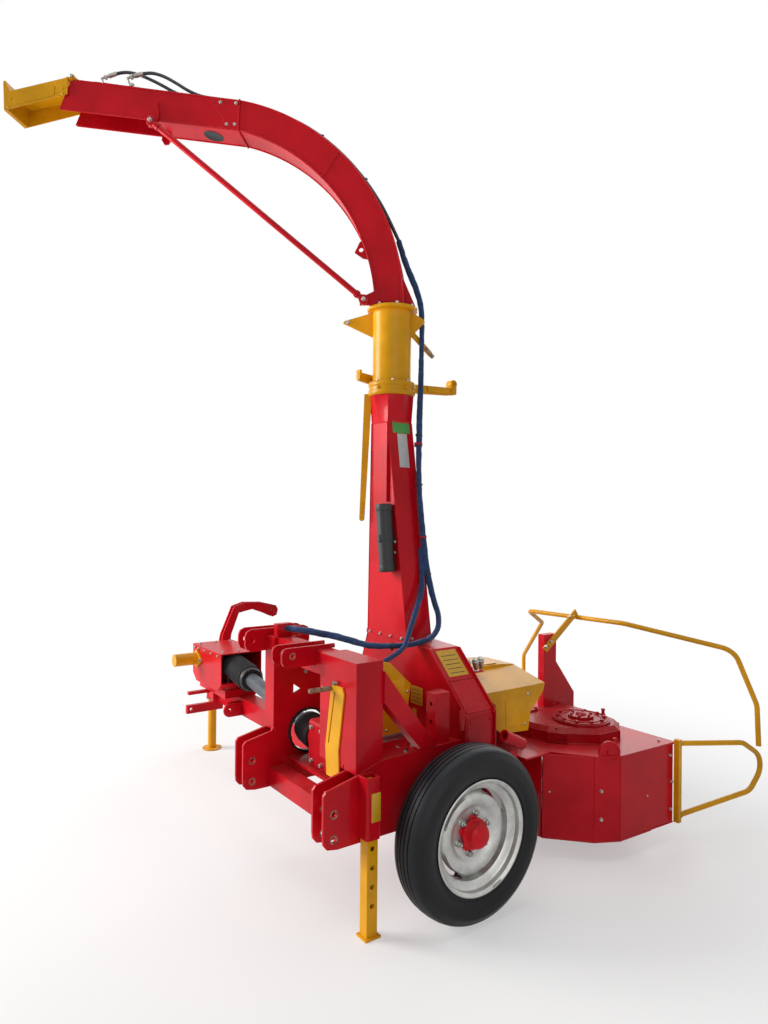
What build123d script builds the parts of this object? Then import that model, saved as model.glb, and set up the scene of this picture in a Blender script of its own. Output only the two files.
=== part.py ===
"""Mounted forage harvester: flywheel chopper, two-rotor header, discharge tower and swinging spout.

Working frame (millimetres): X runs from the tractor to the header, Y = 0 is the hitch centre line with
the wheel on the -Y side, Z = 0 is the ground. X = 0 is the line of the lower hitch pins. The finished
model is moved so that its origin is the middle of its footprint.
"""

from build123d import *
from math import cos, pi, radians, sin, sqrt, tan
import os

# ---------------------------------------------------------------- driving dimensions
SHEET = 6.0                   # folded body sheet
PLATE = 12.0                  # hitch and frame plate
RUN = 0.05                    # radial running clearance of shafts and sleeves
TUBE_SHEET = 8.0              # wall of the box columns

# three-point hitch, category I
HITCH_SPREAD = 683.0          # between the outer faces of the lower hitch brackets' gaps
HITCH_GAP = 63.0              # between the two plates of one lower bracket
PIN_LOW = (0.0, 467.0)        # upper lower-link hole (X, Z)
PIN_LOW_2 = (0.0, 376.0)      # lower lower-link hole
PIN_LOW_R = 11.2
PIN_TOP = (8.0, 983.0)
PIN_TOP_R = 9.8
TOP_GAP = 70.0
HEADSTOCK_TOP = 1000.0
COLUMN_X0, COLUMN_X1 = 100.0, 222.0
COLUMN_FAR_X1 = 195.0

# main shaft line and chopper
SHAFT_Z = 562.0
SHAFT_R = 22.0
BOX_X = 275.0                 # bevel gearbox centre
BOSS_END = 190.0              # far face of the bevel gearbox's input boss
HOUSING_X0, HOUSING_X1 = 620.0, 780.0
HOUSING_R = 405.0
FLYWHEEL_R = HOUSING_R - 45.0
FLYWHEEL_X0, FLYWHEEL_X1 = 660.0, 745.0

# discharge tower and turntable
TOWER_BASE_Z, TOWER_TOP_Z = 975.0, 2003.0
TOWER_Y0, TOWER_Y1 = 0.0, 317.0
TOWER_TOP_Y0, TOWER_TOP_Y1 = 166.0, 300.0
TOWER_X0, TOWER_X1 = 622.0, 765.0
SPOUT_AXIS = (693.0, 233.0)
TUBE_R, TUBE_WALL = 94.4, 5.0
RING_Z0, RING_Z1 = 2135.0, 2200.0
RING_R = TUBE_R + 17.6
FLANGE_R = TUBE_R + 27.6      # bolted flange under the elbow
FLANGE_H = 14.0
TUBE_TOP_Z = 2550.0
SPOUT_TURN = 138.0            # heading of the parked spout, degrees from +X
DUCT_W = 155.0
DUCT_WALL = 4.0
DEFLECTOR_HINGE = (1630.0, 3757.0)   # along the spout, height
KNUCKLE_R, KNUCKLE_PIN_R = 12.0, 6.0
KNUCKLE_AT = 58.0             # half the length of the hinge's middle barrel

# wheel
WHEEL_X = 521.0
WHEEL_OUT = 159.0             # from the near hitch plate to the middle of the tyre
TYRE_R, TYRE_W = 334.0, 158.0
RIM_R = 206.0
AXLE_R = 22.5
AXLE_COLLAR = 12.0

# header
DECK_Z = 470.0
ROLLER_X, ROLLER_Y = 1040.0, 76.0
FLOOR_Z = 92.0
ROTOR_X, ROTOR_Y = 1500.0, 282.0
ROTOR_R = 268.0
ROTOR_TEETH = 14
THROAT_W = 300.0
THROAT_Z0 = SHAFT_Z - HOUSING_R + 13.0
THROAT_Z1 = DECK_Z - 6.0
HEADER_BACK = 1130.0
HEADER_FRONT = 1770.0         # front end of the header's side walls
CASE_TOP = DECK_Z + 78.0       # top of the header gearbox casting
MAST_TOP = DECK_Z + 460.0
GUIDE_R = 12.5                # crop guide tubes

# lateral drive unit
UNIT_X0, UNIT_X1 = 300.0, 560.0
UNIT_Y0, UNIT_Y1 = 1370.0, 1820.0
UNIT_Z0, UNIT_Z1 = 500.0, 725.0
UNIT_EYE = (862.0, 893.0)     # hole at the end of the arch (X, Z)
UNIT_BOSS_Y = 1600.0          # end of the unit gearbox's output boss
LEG_FAR = (469.0, 1908.0)
LEG_NEAR_X, LEG_NEAR_W = 133.0, 46.0
LEG_NEAR_OUT = 32.0           # from the near hitch plate to the middle of the leg
LEG_FAR_R = 27.0

NODES = {}


# ---------------------------------------------------------------- small makers
def block(x0, x1, y0, y1, z0, z1):
    return Pos((x0 + x1) / 2, (y0 + y1) / 2, (z0 + z1) / 2) * Box(x1 - x0, y1 - y0, z1 - z0)


def rod_z(x, y, z0, z1, r):
    return Pos(x, y, (z0 + z1) / 2) * Cylinder(r, z1 - z0)


def rod_x(y, z, x0, x1, r):
    return Pos((x0 + x1) / 2, y, z) * Rot(0, 90, 0) * Cylinder(r, x1 - x0)


def rod_y(x, z, y0, y1, r):
    return Pos(x, (y0 + y1) / 2, z) * Rot(90, 0, 0) * Cylinder(r, y1 - y0)


def outline(points):
    return make_face(Polyline(*points, close=True))


def plate_xz(points, y0, y1):
    side = Plane(origin=(0, y0, 0), x_dir=(1, 0, 0), z_dir=(0, -1, 0))
    return extrude(side * outline(points), amount=y1 - y0, dir=(0, 1, 0))


def plate_yz(points, x0, x1):
    side = Plane(origin=(x0, 0, 0), x_dir=(0, 1, 0), z_dir=(1, 0, 0))
    return extrude(side * outline(points), amount=x1 - x0)


def plate_xy(points, z0, z1):
    return Pos(0, 0, z0) * extrude(outline(points), amount=z1 - z0)


def bar(start, end, r):
    """Round bar between two points."""
    a, b = Vector(start), Vector(end)
    return Plane(origin=a, z_dir=b - a) * Pos(0, 0, (b - a).length / 2) * Cylinder(r, (b - a).length)


def bent_tube(points, radii, r):
    path = FilletPolyline(*points, radius=radii)
    start = Plane(origin=path @ 0, z_dir=path % 0)
    return sweep(start * Circle(r), path=path)


def union(*shapes):
    whole = shapes[0]
    for shape in shapes[1:]:
        whole = whole + shape
    return whole


def add(name, *shapes):
    NODES[name] = shapes


def mirrored(shape):
    return mirror(shape, about=Plane.XZ)


def near_outer_face():
    return -(HITCH_SPREAD / 2 + HITCH_GAP / 2 + PLATE)


def near_inner_face():
    return -(HITCH_SPREAD / 2 - HITCH_GAP / 2 - PLATE)


# ---------------------------------------------------------------- headstock
def box_column(x0, x1, y0, y1, z0, z1):
    """Upright box section, closed on top and open below."""
    t = TUBE_SHEET
    return block(x0, x1, y0, y1, z0, z1) - block(x0 + t, x1 - t, y0 + t, y1 - t, z0 - t, z1 - t)


def bracket_plate(points, y0):
    """Hitch plate with both lower-link holes."""
    plate = plate_xz(points, y0, y0 + PLATE)
    for x, z in (PIN_LOW, PIN_LOW_2):
        plate = plate - rod_y(x, z, y0 - PLATE, y0 + 2 * PLATE, PIN_LOW_R)
    return plate


def make_headstock():
    near_out = near_outer_face()
    near_in = near_inner_face()
    far_in, far_out = -near_in, -near_out
    nose = [(-45, 387), (-45, 540), (-34, 555), (91, 583)]
    heel = [(14, 337), (-28, 345), (-42, 362)]
    short = nose + [(COLUMN_X1, 585), (COLUMN_X1, 337)] + heel
    beam = nose + [(209, 623), (HOUSING_X0, 631), (HOUSING_X0, 385), (430, 385), (385, 337)] + heel
    wall = nose + [(COLUMN_X0, 600), (COLUMN_X0, HEADSTOCK_TOP), (240, HEADSTOCK_TOP), (240, 960), (480, 640),
                   (HOUSING_X0, 600), (HOUSING_X0, 337)] + heel
    near_outer = bracket_plate(beam, near_out)
    near_outer = near_outer - rod_y(WHEEL_X, TYRE_R, near_out - 5, near_out + 20, AXLE_R + AXLE_COLLAR + 8)
    near_pad = block(HOUSING_X0 - 14, HOUSING_X0, near_out + PLATE, near_out + 100, 400, 620)
    near_inner = bracket_plate(short, near_in - PLATE)
    far_inner = bracket_plate(wall, far_in) - rod_y(BOX_X, SHAFT_Z, far_in - 5, far_in + 20, 92)
    far_inner = far_inner - plate_xz([(200, 735), (240, 752), (200, 780)], far_in - 5, far_in + 20)
    far_outer = bracket_plate(short, far_out - PLATE)
    add("side_plates", near_outer + near_pad, near_inner, far_inner, far_outer)

    near_column = box_column(COLUMN_X0, COLUMN_X1, near_out + PLATE, -110, 585, HEADSTOCK_TOP)
    far_column = box_column(COLUMN_X0, COLUMN_FAR_X1, far_in + PLATE, far_out, 585, HEADSTOCK_TOP)
    add("headstock_columns", near_column - near_inner, far_column - far_outer)
    top_beam = block(115, 190, -110, far_in, 905, 1000) - block(121, 184, -115, far_in - 6, 911, 994)
    lower_beam = block(77, 157, near_in, far_in, 345, 425) - block(84, 150, near_in - 5, far_in + 5, 352, 418)
    bed = block(165, 430, near_in, far_in, 448, 460)
    add("cross_beams", top_beam, lower_beam, bed)

    ear = [(-40, 962), (-32, 946), (-14, 937), (115, 937), (115, 1000), (206, 1000), (206, 1017), (-18, 1017),
           (-34, 1010), (-40, 996)]
    clevis = []
    for y0 in (-TOP_GAP / 2 - PLATE, TOP_GAP / 2):
        hole = rod_y(PIN_TOP[0], PIN_TOP[1], y0 - 5, y0 + PLATE + 5, PIN_TOP_R)
        clevis.append(plate_xz(ear, y0, y0 + PLATE) - hole)
    add("top_link_clevis", *clevis)

    brace = plate_xz([(COLUMN_X1, 960), (COLUMN_X1, 840), (400, 631), (480, 631)], near_out, near_out + 60)
    add("column_brace", brace - near_outer)

    lug = [(30, 930), (8, 940), (0, 960), (0, 1000), (8, 1020), (30, 1030), (300, 1030), (322, 1020), (330, 1000),
           (330, 960), (322, 940), (300, 930)]
    lugs = []
    for y0 in (far_out, far_out + 70):
        lugs.append(plate_xz(lug, y0, y0 + PLATE) - rod_y(35, 980, y0 - 5, y0 + PLATE + 5, 12.5))
    spacer = block(COLUMN_X0 + 20, COLUMN_FAR_X1, far_out + PLATE, far_out + 70, 940, 1020)
    add("side_lugs", union(lugs[0], spacer, lugs[1]))

    # slotted yellow strap and its stub pin, both on the near column
    left = [(-295, 870), (-258, 646), (-266, 531)]
    right = [(-172, 531), (-163, 646), (-200, 870), (-212, 893), (-283, 893)]
    slit = [(-234, 866), (-226, 866), (-182, 660), (-190, 660)]
    strap = plate_yz(left + right, COLUMN_X0 - 6, COLUMN_X0) - plate_yz(slit, COLUMN_X0 - 9, COLUMN_X0 + 3)
    add("tie_strap", strap + rod_x(-200, 876, -2, COLUMN_X0, 9))


def make_stands():
    near_out = near_outer_face()
    x, y = LEG_NEAR_X, near_out - LEG_NEAR_OUT
    half = LEG_NEAR_W / 2
    slot = half + RUN
    wide = half + 8
    socket = block(x - wide, x + wide, y - wide, near_out, 364, 591)
    socket = fillet(socket.edges().filter_by(Axis.Z).group_by(Axis.Y)[0], 10)
    socket = socket - block(x - slot, x + slot, y - slot, y + slot, 360, 595)
    fx, fy = LEG_FAR
    sleeve = rod_z(fx, fy, 330, 470, LEG_FAR_R + 11) - rod_z(fx, fy, 320, 480, LEG_FAR_R + RUN)
    add("stand_sockets", socket, sleeve)
    core = half - 6
    leg = block(x - half, x + half, y - half, y + half, 8, 575)
    leg = leg - block(x - core, x + core, y - core, y + core, 0, 580)
    for z in range(120, 560, 70):
        leg = leg - rod_y(x, z, y - half - 5, y + half + 5, 9)
    add("stand_leg_near", leg + block(x - 34, x + 34, y - 34, y + 30, 0, 8))
    leg = rod_z(fx, fy, 8, 560, LEG_FAR_R) - rod_z(fx, fy, 0, 565, LEG_FAR_R - 5)
    add("stand_leg_far", leg + rod_z(fx, fy, 0, 8, 62))


# ---------------------------------------------------------------- drive line
def make_drive():
    body = block(BOX_X - 90, BOX_X + 90, -100, 140, 460, 664)
    body = fillet(body.edges(), 18)
    boss_in = rod_y(BOX_X, SHAFT_Z, 140, BOSS_END, 62)
    boss_out = rod_x(0, SHAFT_Z, BOX_X + 90, BOX_X + 130, 58)
    add("bevel_gearbox", union(body, boss_in, boss_out))
    flange = rod_x(0, SHAFT_Z, HOUSING_X0 - 34, HOUSING_X0, 62) + rod_x(0, SHAFT_Z, HOUSING_X0 - 12, HOUSING_X0, 92)
    bearings = [flange - rod_x(0, SHAFT_Z, HOUSING_X0 - 40, HOUSING_X0 + 5, SHAFT_R)]
    for side in (-1, 1):
        ring = rod_z(ROTOR_X, side * ROTOR_Y, DECK_Z - 22, DECK_Z, 52)
        bearings.append(ring - rod_z(ROTOR_X, side * ROTOR_Y, DECK_Z - 25, DECK_Z + 5, 24 + RUN))
    add("shaft_bearings", *bearings)
    side = [(370, 631), (370, 938), (408, 931), (518, 831), (505, 745), (482, 631)]
    room = [(374, 620), (374, 933), (406, 927), (513, 829), (501, 745), (477, 620)]
    guard = plate_xz(side, -165, 150) - plate_xz(room, -161, 146)
    stay = block(470, HOUSING_X0, 140, 146, 680, 730)
    add("drive_guard_front", guard + stay)


# ---------------------------------------------------------------- chopper
def housing_outline(inset):
    """Closed drum with its tangential outlet, seen along X."""
    r = HOUSING_R - inset
    k = r * tan(radians(22.5))
    z = SHAFT_Z
    return [(-r, z - k), (-r, z + k), (-k, z + r), (TOWER_Y0 + inset, TOWER_BASE_Z), (TOWER_Y1 - inset, TOWER_BASE_Z),
            (r, z + k), (r, z - k), (k, z - r), (-k, z - r)]


def make_chopper():
    shell = plate_yz(housing_outline(0), HOUSING_X0, HOUSING_X1)
    core = plate_yz(housing_outline(SHEET), HOUSING_X0 + SHEET, HOUSING_X1 - SHEET)
    y0, y1, z = TOWER_Y0 + 10, TOWER_Y1 - 10, TOWER_BASE_Z
    outlet = block(TOWER_X0 + SHEET, TOWER_X1 - SHEET, y0, y1, z - 60, z + 5)
    inlet = throat_room(HOUSING_X1 - SHEET - 5, HOUSING_X1 + 5)
    shaft_hole = rod_x(0, SHAFT_Z, HOUSING_X0 - 5, HOUSING_X0 + SHEET + 5, SHAFT_R + 8)
    rim = plate_yz(housing_outline(-14), HOUSING_X1 - SHEET, HOUSING_X1)
    rim = rim - block(HOUSING_X0, HOUSING_X1 + 5, -HOUSING_R, HOUSING_R + 20, SHAFT_Z + HOUSING_R, z + 60)
    add("chopper_housing", shell - core - outlet - inlet - shaft_hole + (rim - shell - core))
    shaft = rod_x(0, SHAFT_Z, BOX_X + 130, FLYWHEEL_X0, SHAFT_R)
    add("flywheel", shaft + rod_x(0, SHAFT_Z, FLYWHEEL_X0, FLYWHEEL_X1, FLYWHEEL_R))
    throat = block(HOUSING_X1, HEADER_BACK, -THROAT_W / 2, THROAT_W / 2, THROAT_Z0, THROAT_Z1)
    add("feed_throat", throat - throat_room(HOUSING_X1 - 5, HEADER_BACK + 5))


def throat_room(x0, x1):
    """Clear way through the feed throat."""
    half = THROAT_W / 2 - SHEET
    return block(x0, x1, -half, half, THROAT_Z0 + SHEET, THROAT_Z1 - SHEET)


# ---------------------------------------------------------------- tower
def make_tower():
    t = SHEET
    z0, z1 = TOWER_BASE_Z, TOWER_TOP_Z
    outer = [(TOWER_Y0, z0), (TOWER_Y1, z0), (TOWER_TOP_Y1, z1), (TOWER_TOP_Y0, z1)]
    inner = [(TOWER_Y0 + t, z0 - 5), (TOWER_Y1 - t, z0 - 5), (TOWER_TOP_Y1 - t, z1 + 5), (TOWER_TOP_Y0 + t, z1 + 5)]
    rib = block(TOWER_X0 - 14, TOWER_X0, TOWER_TOP_Y0 - 14, TOWER_TOP_Y0, 1620, z1 - 10)
    shaft = plate_yz(outer, TOWER_X0, TOWER_X1) - plate_yz(inner, TOWER_X0 + t, TOWER_X1 - t)
    add("discharge_tower", shaft + rib)

    x, y = SPOUT_AXIS
    middle = (TOWER_X0 + TOWER_X1) / 2
    depth, width = TOWER_X1 - TOWER_X0, TOWER_TOP_Y1 - TOWER_TOP_Y0
    base = Pos(middle, y, z1) * Rectangle(depth, width)
    top = Pos(x, y, RING_Z0) * RegularPolygon(RING_R - 12, 8, major_radius=False)
    base_in = Pos(middle, y, z1 - 1) * Rectangle(depth - 2 * t, width - 2 * t)
    top_in = Pos(x, y, RING_Z0 + 1) * RegularPolygon(TUBE_R - 10, 8, major_radius=False)
    add("tower_funnel", loft([base, top]) - loft([base_in, top_in]))

    ring = rod_z(x, y, RING_Z0, RING_Z1, RING_R) - rod_z(x, y, RING_Z0 - 5, RING_Z0 + 8, TUBE_R - 10)
    ring = ring - rod_z(x, y, RING_Z0 + 8, RING_Z1 + 5, TUBE_R + RUN)
    room = rod_z(x, y, RING_Z0 - 5, 2300, RING_R)
    sp = spout_plane()
    bar_side = [(566, 2206), (640, 2180), (760, 2180), (860, 2206), (1208, 2222), (1208, 2286), (880, 2276),
                (850, 2240), (680, 2240), (662, 2288), (566, 2262)]
    arm = plate_xz(bar_side, y + RING_R - 8, y + RING_R + 8) - room
    hole = sp * (Pos(RING_R + 3, 1560, 0) * Rot(0, 90, 0) * Cylinder(7, 20))
    end = sp * (Pos(RING_R + 2, 1535, 0) * Rot(0, 90, 0) * Cylinder(14, 8))
    lever = sp * (Pos(RING_R + 2, 1860, 0) * Box(8, 650, 28)) + end - hole - room
    add("turntable_ring", union(ring, arm, lever))

    high, low = (581, 135, 1600), (581, 103, 1300)
    holder = block(590, TOWER_X0, 100, 138, 1432, 1468)
    add("document_tube", bar(high, low, 37) + holder)


def spout_plane():
    """Upright plane through the spout axis: local x along the spout, local y up, local z to its far side."""
    a = radians(SPOUT_TURN)
    return Plane(origin=(SPOUT_AXIS[0], SPOUT_AXIS[1], 0), x_dir=(cos(a), sin(a), 0), z_dir=(sin(a), -cos(a), 0))


def duct(face_out, face_in):
    sp = spout_plane()
    outer = extrude(sp * face_out, amount=DUCT_W / 2, both=True)
    inner = extrude(sp * face_in, amount=DUCT_W / 2 - DUCT_WALL, both=True)
    return outer - inner


def curved_face(o0, o1, o2, i2, i1, i0):
    edges = [ThreePointArc(o0, o1, o2), Line(o2, i2), ThreePointArc(i2, i1, i0), Line(i0, o0)]
    return make_face(edges)


# ---------------------------------------------------------------- spout
def make_spout():
    x, y = SPOUT_AXIS
    sp = spout_plane()
    z0 = TUBE_TOP_Z + FLANGE_H
    bore = rod_z(x, y, RING_Z0, z0 + 5, TUBE_R - TUBE_WALL)
    tube = rod_z(x, y, RING_Z0 + 8 + RUN, TUBE_TOP_Z, TUBE_R) + rod_z(x, y, TUBE_TOP_Z, z0, FLANGE_R)
    for side, reach in ((1, 244), (-1, 160)):
        root = side * (TUBE_R - 2)
        ear = [(root, TUBE_TOP_Z), (side * (reach - 8), 2512), (side * reach, 2500), (root, 2426)]
        tube = tube + extrude(sp * outline(ear), amount=6, both=True)
    eye = sp * Pos(218, 2504, 0) * Cylinder(8, 30)
    add("turntable_tube", tube - bore - eye)
    w = DUCT_WALL
    face = curved_face((-60, z0), (140, 3177), (755, 3588), (761, 3443), (225, 3044), (75, z0))
    hole = curved_face((-60 + w, z0 - 3), (140 + 0.8 * w, 3177 - 0.6 * w), (758, 3588 - w), (764, 3443 + w),
                       (225 - 0.8 * w, 3044 + 0.6 * w), (75 - w, z0 - 3))
    add("spout_elbow", duct(face, hole))
    end = outline([(755, 3588), (1592, 3736), (1640, 3740), (1700, 3600), (761, 3443)])
    end_in = outline([(750, 3588 - w), (1592, 3736 - w), (1720, 3740 - w), (1760, 3600 + w), (756, 3443 + w)])
    hinge_s, hinge_z = DEFLECTOR_HINGE
    barrel = sp * Pos(hinge_s, hinge_z, 0) * Cylinder(KNUCKLE_R, 2 * KNUCKLE_AT - 0.6)
    pin = sp * Pos(hinge_s, hinge_z, 0) * Cylinder(KNUCKLE_PIN_R, DUCT_W + 14)
    saddle = sp * Pos(hinge_s - 8, hinge_z - 10, 0) * Box(24, 20, 2 * KNUCKLE_AT - 0.6)
    add("spout_end", union(duct(end, end_in), barrel, saddle, pin))
    n = -(DUCT_W / 2 + 8 + 14)
    low, high = sp.from_local_coords((128, 2585, n)), sp.from_local_coords((1202, 3498, n))
    add("spout_strut", bar(low, high, 14))
    cover = extrude(sp * outline([(1285, 3682), (1285, 3705), (1531, 3750), (1531, 3726)]), amount=45, both=True)
    add("cylinder_cover", cover)
    solid_elbow = extrude(sp * face, amount=DUCT_W / 2, both=True)
    brackets = []
    for half, points in (
        (4, [(70, 2700), (70, z0), (125, z0)]),                                   # inner gusset
        (4, [(-50, 2720), (-50, z0), (-118, z0)]),                                # outer gusset
        (5, [(100, 2930), (165, 2900), (190, 2849), (150, 2820), (60, 2800)]),    # lifting hook
    ):
        brackets.append(extrude(sp * outline(points), amount=half, both=True) - solid_elbow)
    brackets[2] = brackets[2] - sp * Pos(158, 2862, 0) * Cylinder(11, 30)
    beside = Pos(0, 0, -(DUCT_W / 2 + 4))
    for points in (
        [(60, z0), (150, z0), (150, 2600), (60, 2640)],                           # foot of the strut
        [(1185, 3560), (1225, 3560), (1225, 3480), (1185, 3480)],                 # head of the strut
    ):
        brackets.append(sp * beside * extrude(outline(points), amount=4, both=True))
    add("spout_brackets", *brackets)
    hood = outline([(1652, 3752), (1967, 3700), (1990, 3756), (2000, 3752), (1994, 3604), (1652, 3668)])
    room = outline([(1600, 3744), (1960, 3694), (1980, 3590), (1600, 3650)])
    mouth = outline([(1600, 3700), (1664, 3700), (1710, 3600), (1600, 3550)])
    half = DUCT_W / 2 + 10
    shell = extrude(sp * hood, amount=half, both=True) - extrude(sp * room, amount=half - DUCT_WALL, both=True)
    shell = shell - extrude(sp * mouth, amount=half - DUCT_WALL, both=True)
    knuckles = []
    for n in (-(KNUCKLE_AT + half) / 2, (KNUCKLE_AT + half) / 2):
        eye = sp * Pos(hinge_s, hinge_z, n) * Cylinder(KNUCKLE_R, half - KNUCKLE_AT)
        leaf = sp * Pos(hinge_s + 18, hinge_z - 6, n) * Box(28, 8, half - KNUCKLE_AT)
        knuckles.append(eye + leaf - sp * Pos(hinge_s, hinge_z, n) * Cylinder(KNUCKLE_PIN_R + RUN, 60))
    add("deflector", union(shell, knuckles[0], knuckles[1]))


# ---------------------------------------------------------------- wheel
def revolved(points):
    """Ring about the wheel's axle from points given as (distance across, radius)."""
    y = near_outer_face() - WHEEL_OUT
    section = Plane(origin=(WHEEL_X, y, TYRE_R), x_dir=(0, 1, 0), z_dir=(1, 0, 0))
    return revolve(section * outline(points), axis=Axis((WHEEL_X, y, TYRE_R), (0, 1, 0)))


def both_sides(points):
    """The outline from one edge of the wheel to its middle, followed by its mirror image."""
    return points + [(-y, r) for y, r in reversed(points)]


def make_wheel():
    x = WHEEL_X
    y = near_outer_face() - WHEEL_OUT
    h = TYRE_W / 2
    wall = RIM_R + 56
    seat = 58                 # half the distance between the rim's bead seats
    tread = both_sides([(-seat, RIM_R), (15 - h, wall - 40), (-h, wall), (2 - h, wall + 28), (13 - h, TYRE_R - 19),
                        (29 - h, TYRE_R - 8), (57 - h, TYRE_R)])
    add("tyre", revolved(tread))

    outside = both_sides([(-70, RIM_R + 13), (-64, RIM_R + 12), (-seat - 0.4, RIM_R), (-40, RIM_R), (-34, RIM_R - 10),
                          (-22, RIM_R - 28)])
    inside = both_sides([(-72, RIM_R + 7), (-62, RIM_R - 6), (-37, RIM_R - 6), (-30, RIM_R - 16), (-19, RIM_R - 34)])
    well = RIM_R - 34
    dish = [(-8, 38), (-8, 92), (-20, 112), (-26, 134), (-20, 154), (-6, well - 6), (-2, well + 0.4)]
    back = [(4, well + 0.4), (0, well - 8), (-14, 152), (-20, 134), (-14, 114), (0, 94), (0, 38)]
    rim = revolved(outside + inside[::-1]) + revolved(dish + back)
    face = Plane(origin=(x, y - 40, TYRE_R), x_dir=(1, 0, 0), z_dir=(0, -1, 0))
    for i in range(4):
        vent = SlotArc(CenterArc((0, 0), well - 9, 90 * i + 22, 46), 12)
        rim = rim - extrude(face * vent, amount=45, dir=(0, 1, 0))
    add("rim", rim)

    hub = rod_y(x, TYRE_R, y, y + 12, 75) + rod_y(x, TYRE_R, y, y + 60, 40) + rod_y(x, TYRE_R, y - 20, y, 37.9)
    hub = hub + rod_y(x, TYRE_R, y - 20, y - 8, 50)
    for i in range(5):
        a = radians(72 * i + 18)
        hub = hub + rod_y(x + 52 * cos(a), TYRE_R + 52 * sin(a), y - 20, y - 8, 17)
    cap = rod_y(x, TYRE_R, y - 62, y - 20, 34)
    cap = fillet(cap.edges().group_by(Axis.Y)[0], 16)
    add("wheel_hub", hub + cap - rod_y(x, TYRE_R, y - 16, y + 65, AXLE_R + RUN))

    y0 = near_outer_face() + PLATE
    z0, z1 = TYRE_R - 54, 834
    t = TUBE_SHEET
    post = block(x - 38, x + 38, y0, y0 + 58, z0, z1)
    post = post - block(x - 38 + t, x + 38 - t, y0 + t, y0 + 58 - t, z0 - 5, z1 - 6)
    for z in (646, 717, 788):
        post = post - rod_x(y0 + 29, z, x - 45, x + 45, 9)
    add("wheel_leg", post - rod_y(x, TYRE_R, y0 - 5, y0 + 65, AXLE_R))
    axle = rod_y(x, TYRE_R, y - 14, y0 + 58, AXLE_R)
    add("wheel_axle", axle + rod_y(x, TYRE_R, y + 82, y0, AXLE_R + AXLE_COLLAR))


# ---------------------------------------------------------------- header
WALL_LINE = [(HEADER_BACK, -368), (1284, -536), (1394, -593), (HEADER_FRONT, -614)]


def wall_strip(t, z0, z1):
    inner = [(HEADER_BACK + 3, -368 + t * 1.3), (1284 + 3, -536 + t), (1394 + 1, -593 + t), (HEADER_FRONT, -614 + t)]
    return plate_xy(WALL_LINE + inner[::-1], z0, z1)


def both_halves(points):
    """The near half of an outline seen from above, followed by its mirror image."""
    return points + [(x, -y) for x, y in reversed(points)]


def toothed_disc(x, y, z, r_tip, r_root, teeth, t):
    points = []
    step = 2 * pi / teeth
    for i in range(teeth):
        for part, r in ((0.0, r_root), (0.30, r_tip), (0.42, r_tip), (0.48, r_root)):
            a = (i + part) * step
            points.append((x + r * cos(a), y + r * sin(a)))
    return plate_xy(points, z, z + t)


def make_rotors():
    for side, tag in ((-1, "near"), (1, "far")):
        y = side * ROTOR_Y
        body = rod_z(ROTOR_X, y, FLOOR_Z + 24, DECK_Z - 30, 128)
        body = body + rod_z(ROTOR_X, y, DECK_Z - 30, DECK_Z + 7.5, 24)
        for height in (98, 198, 298):
            body = body + toothed_disc(ROTOR_X, y, FLOOR_Z + height, ROTOR_R, ROTOR_R - 70, ROTOR_TEETH, 7)
        body = body + toothed_disc(ROTOR_X, y, FLOOR_Z + 14, ROTOR_R + 6, ROTOR_R - 26, 8, 10)
        add("rotor_" + tag, body)


def make_header_gearbox():
    z0 = DECK_Z + 8
    foot = both_halves([(1239, -192), (1261, -277), (1314, -353), (1431, -447), (1566, -460), (1668, -380),
                        (1692, -250)])
    crown = both_halves([(1262, -186), (1283, -266), (1332, -336), (1440, -424), (1556, -436), (1648, -364),
                         (1668, -244)])
    case = loft([Pos(0, 0, z0) * outline(foot), Pos(0, 0, CASE_TOP - 22) * outline(foot)])
    case = case + loft([Pos(0, 0, CASE_TOP - 22) * outline(foot), Pos(0, 0, CASE_TOP) * outline(crown)])
    neck = block(HOUSING_X1, 1262, -90, 60, DECK_Z + 50, DECK_Z + 170)
    back = [(1240, CASE_TOP - 12), (1240, DECK_Z + 170), (1262, DECK_Z + 170), (1345, CASE_TOP - 12)]
    slope = plate_xz(back, -80, 50)
    covers = []
    skids = []
    for side in (-1, 1):
        y = side * ROTOR_Y
        lid = rod_z(ROTOR_X, y, CASE_TOP, CASE_TOP + 12, 140)
        covers.append(lid + rod_z(ROTOR_X, y, CASE_TOP + 12, CASE_TOP + 26, 62))
        skids.append(rod_z(ROTOR_X, y, 0, 14, 118) + rod_z(ROTOR_X, y, 14, FLOOR_Z - 6, 70))
    case = union(case, neck, slope)
    add("header_gearbox", case)
    add("gearbox_covers", *covers)
    add("skid_dishes", *skids)

    z = DECK_Z
    side = [(782, z + 368), (862, z + 266), (893, z + 242), (898, z + 133), (934, z + 108), (1103, z + 96),
            (1119, z + 185), (1170, z + 231), (1205, z + 268), (1225, z + 352), (1130, z + 362), (905, z + 368)]
    room = [(782, z + 362), (866, z + 267), (897, z + 242), (902, z + 136), (930, z + 90), (1099, z + 90),
            (1115, z + 187), (1166, z + 233), (1201, z + 270), (1220, z + 348), (1129, z + 358), (905, z + 364)]
    slant = [(-310, z + 300), (-310, z + 420), (-90, z + 420), (-90, z + 350)]
    lower = [(y + 2, height - 4) for y, height in slant]
    cover = plate_xz(side, -300, 110) - plate_yz(slant, 770, 1240)
    hollow = plate_xz(room, -296, 106) - plate_yz(lower, 770, 1240)
    add("drive_guard_rear", cover - hollow - case)


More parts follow.
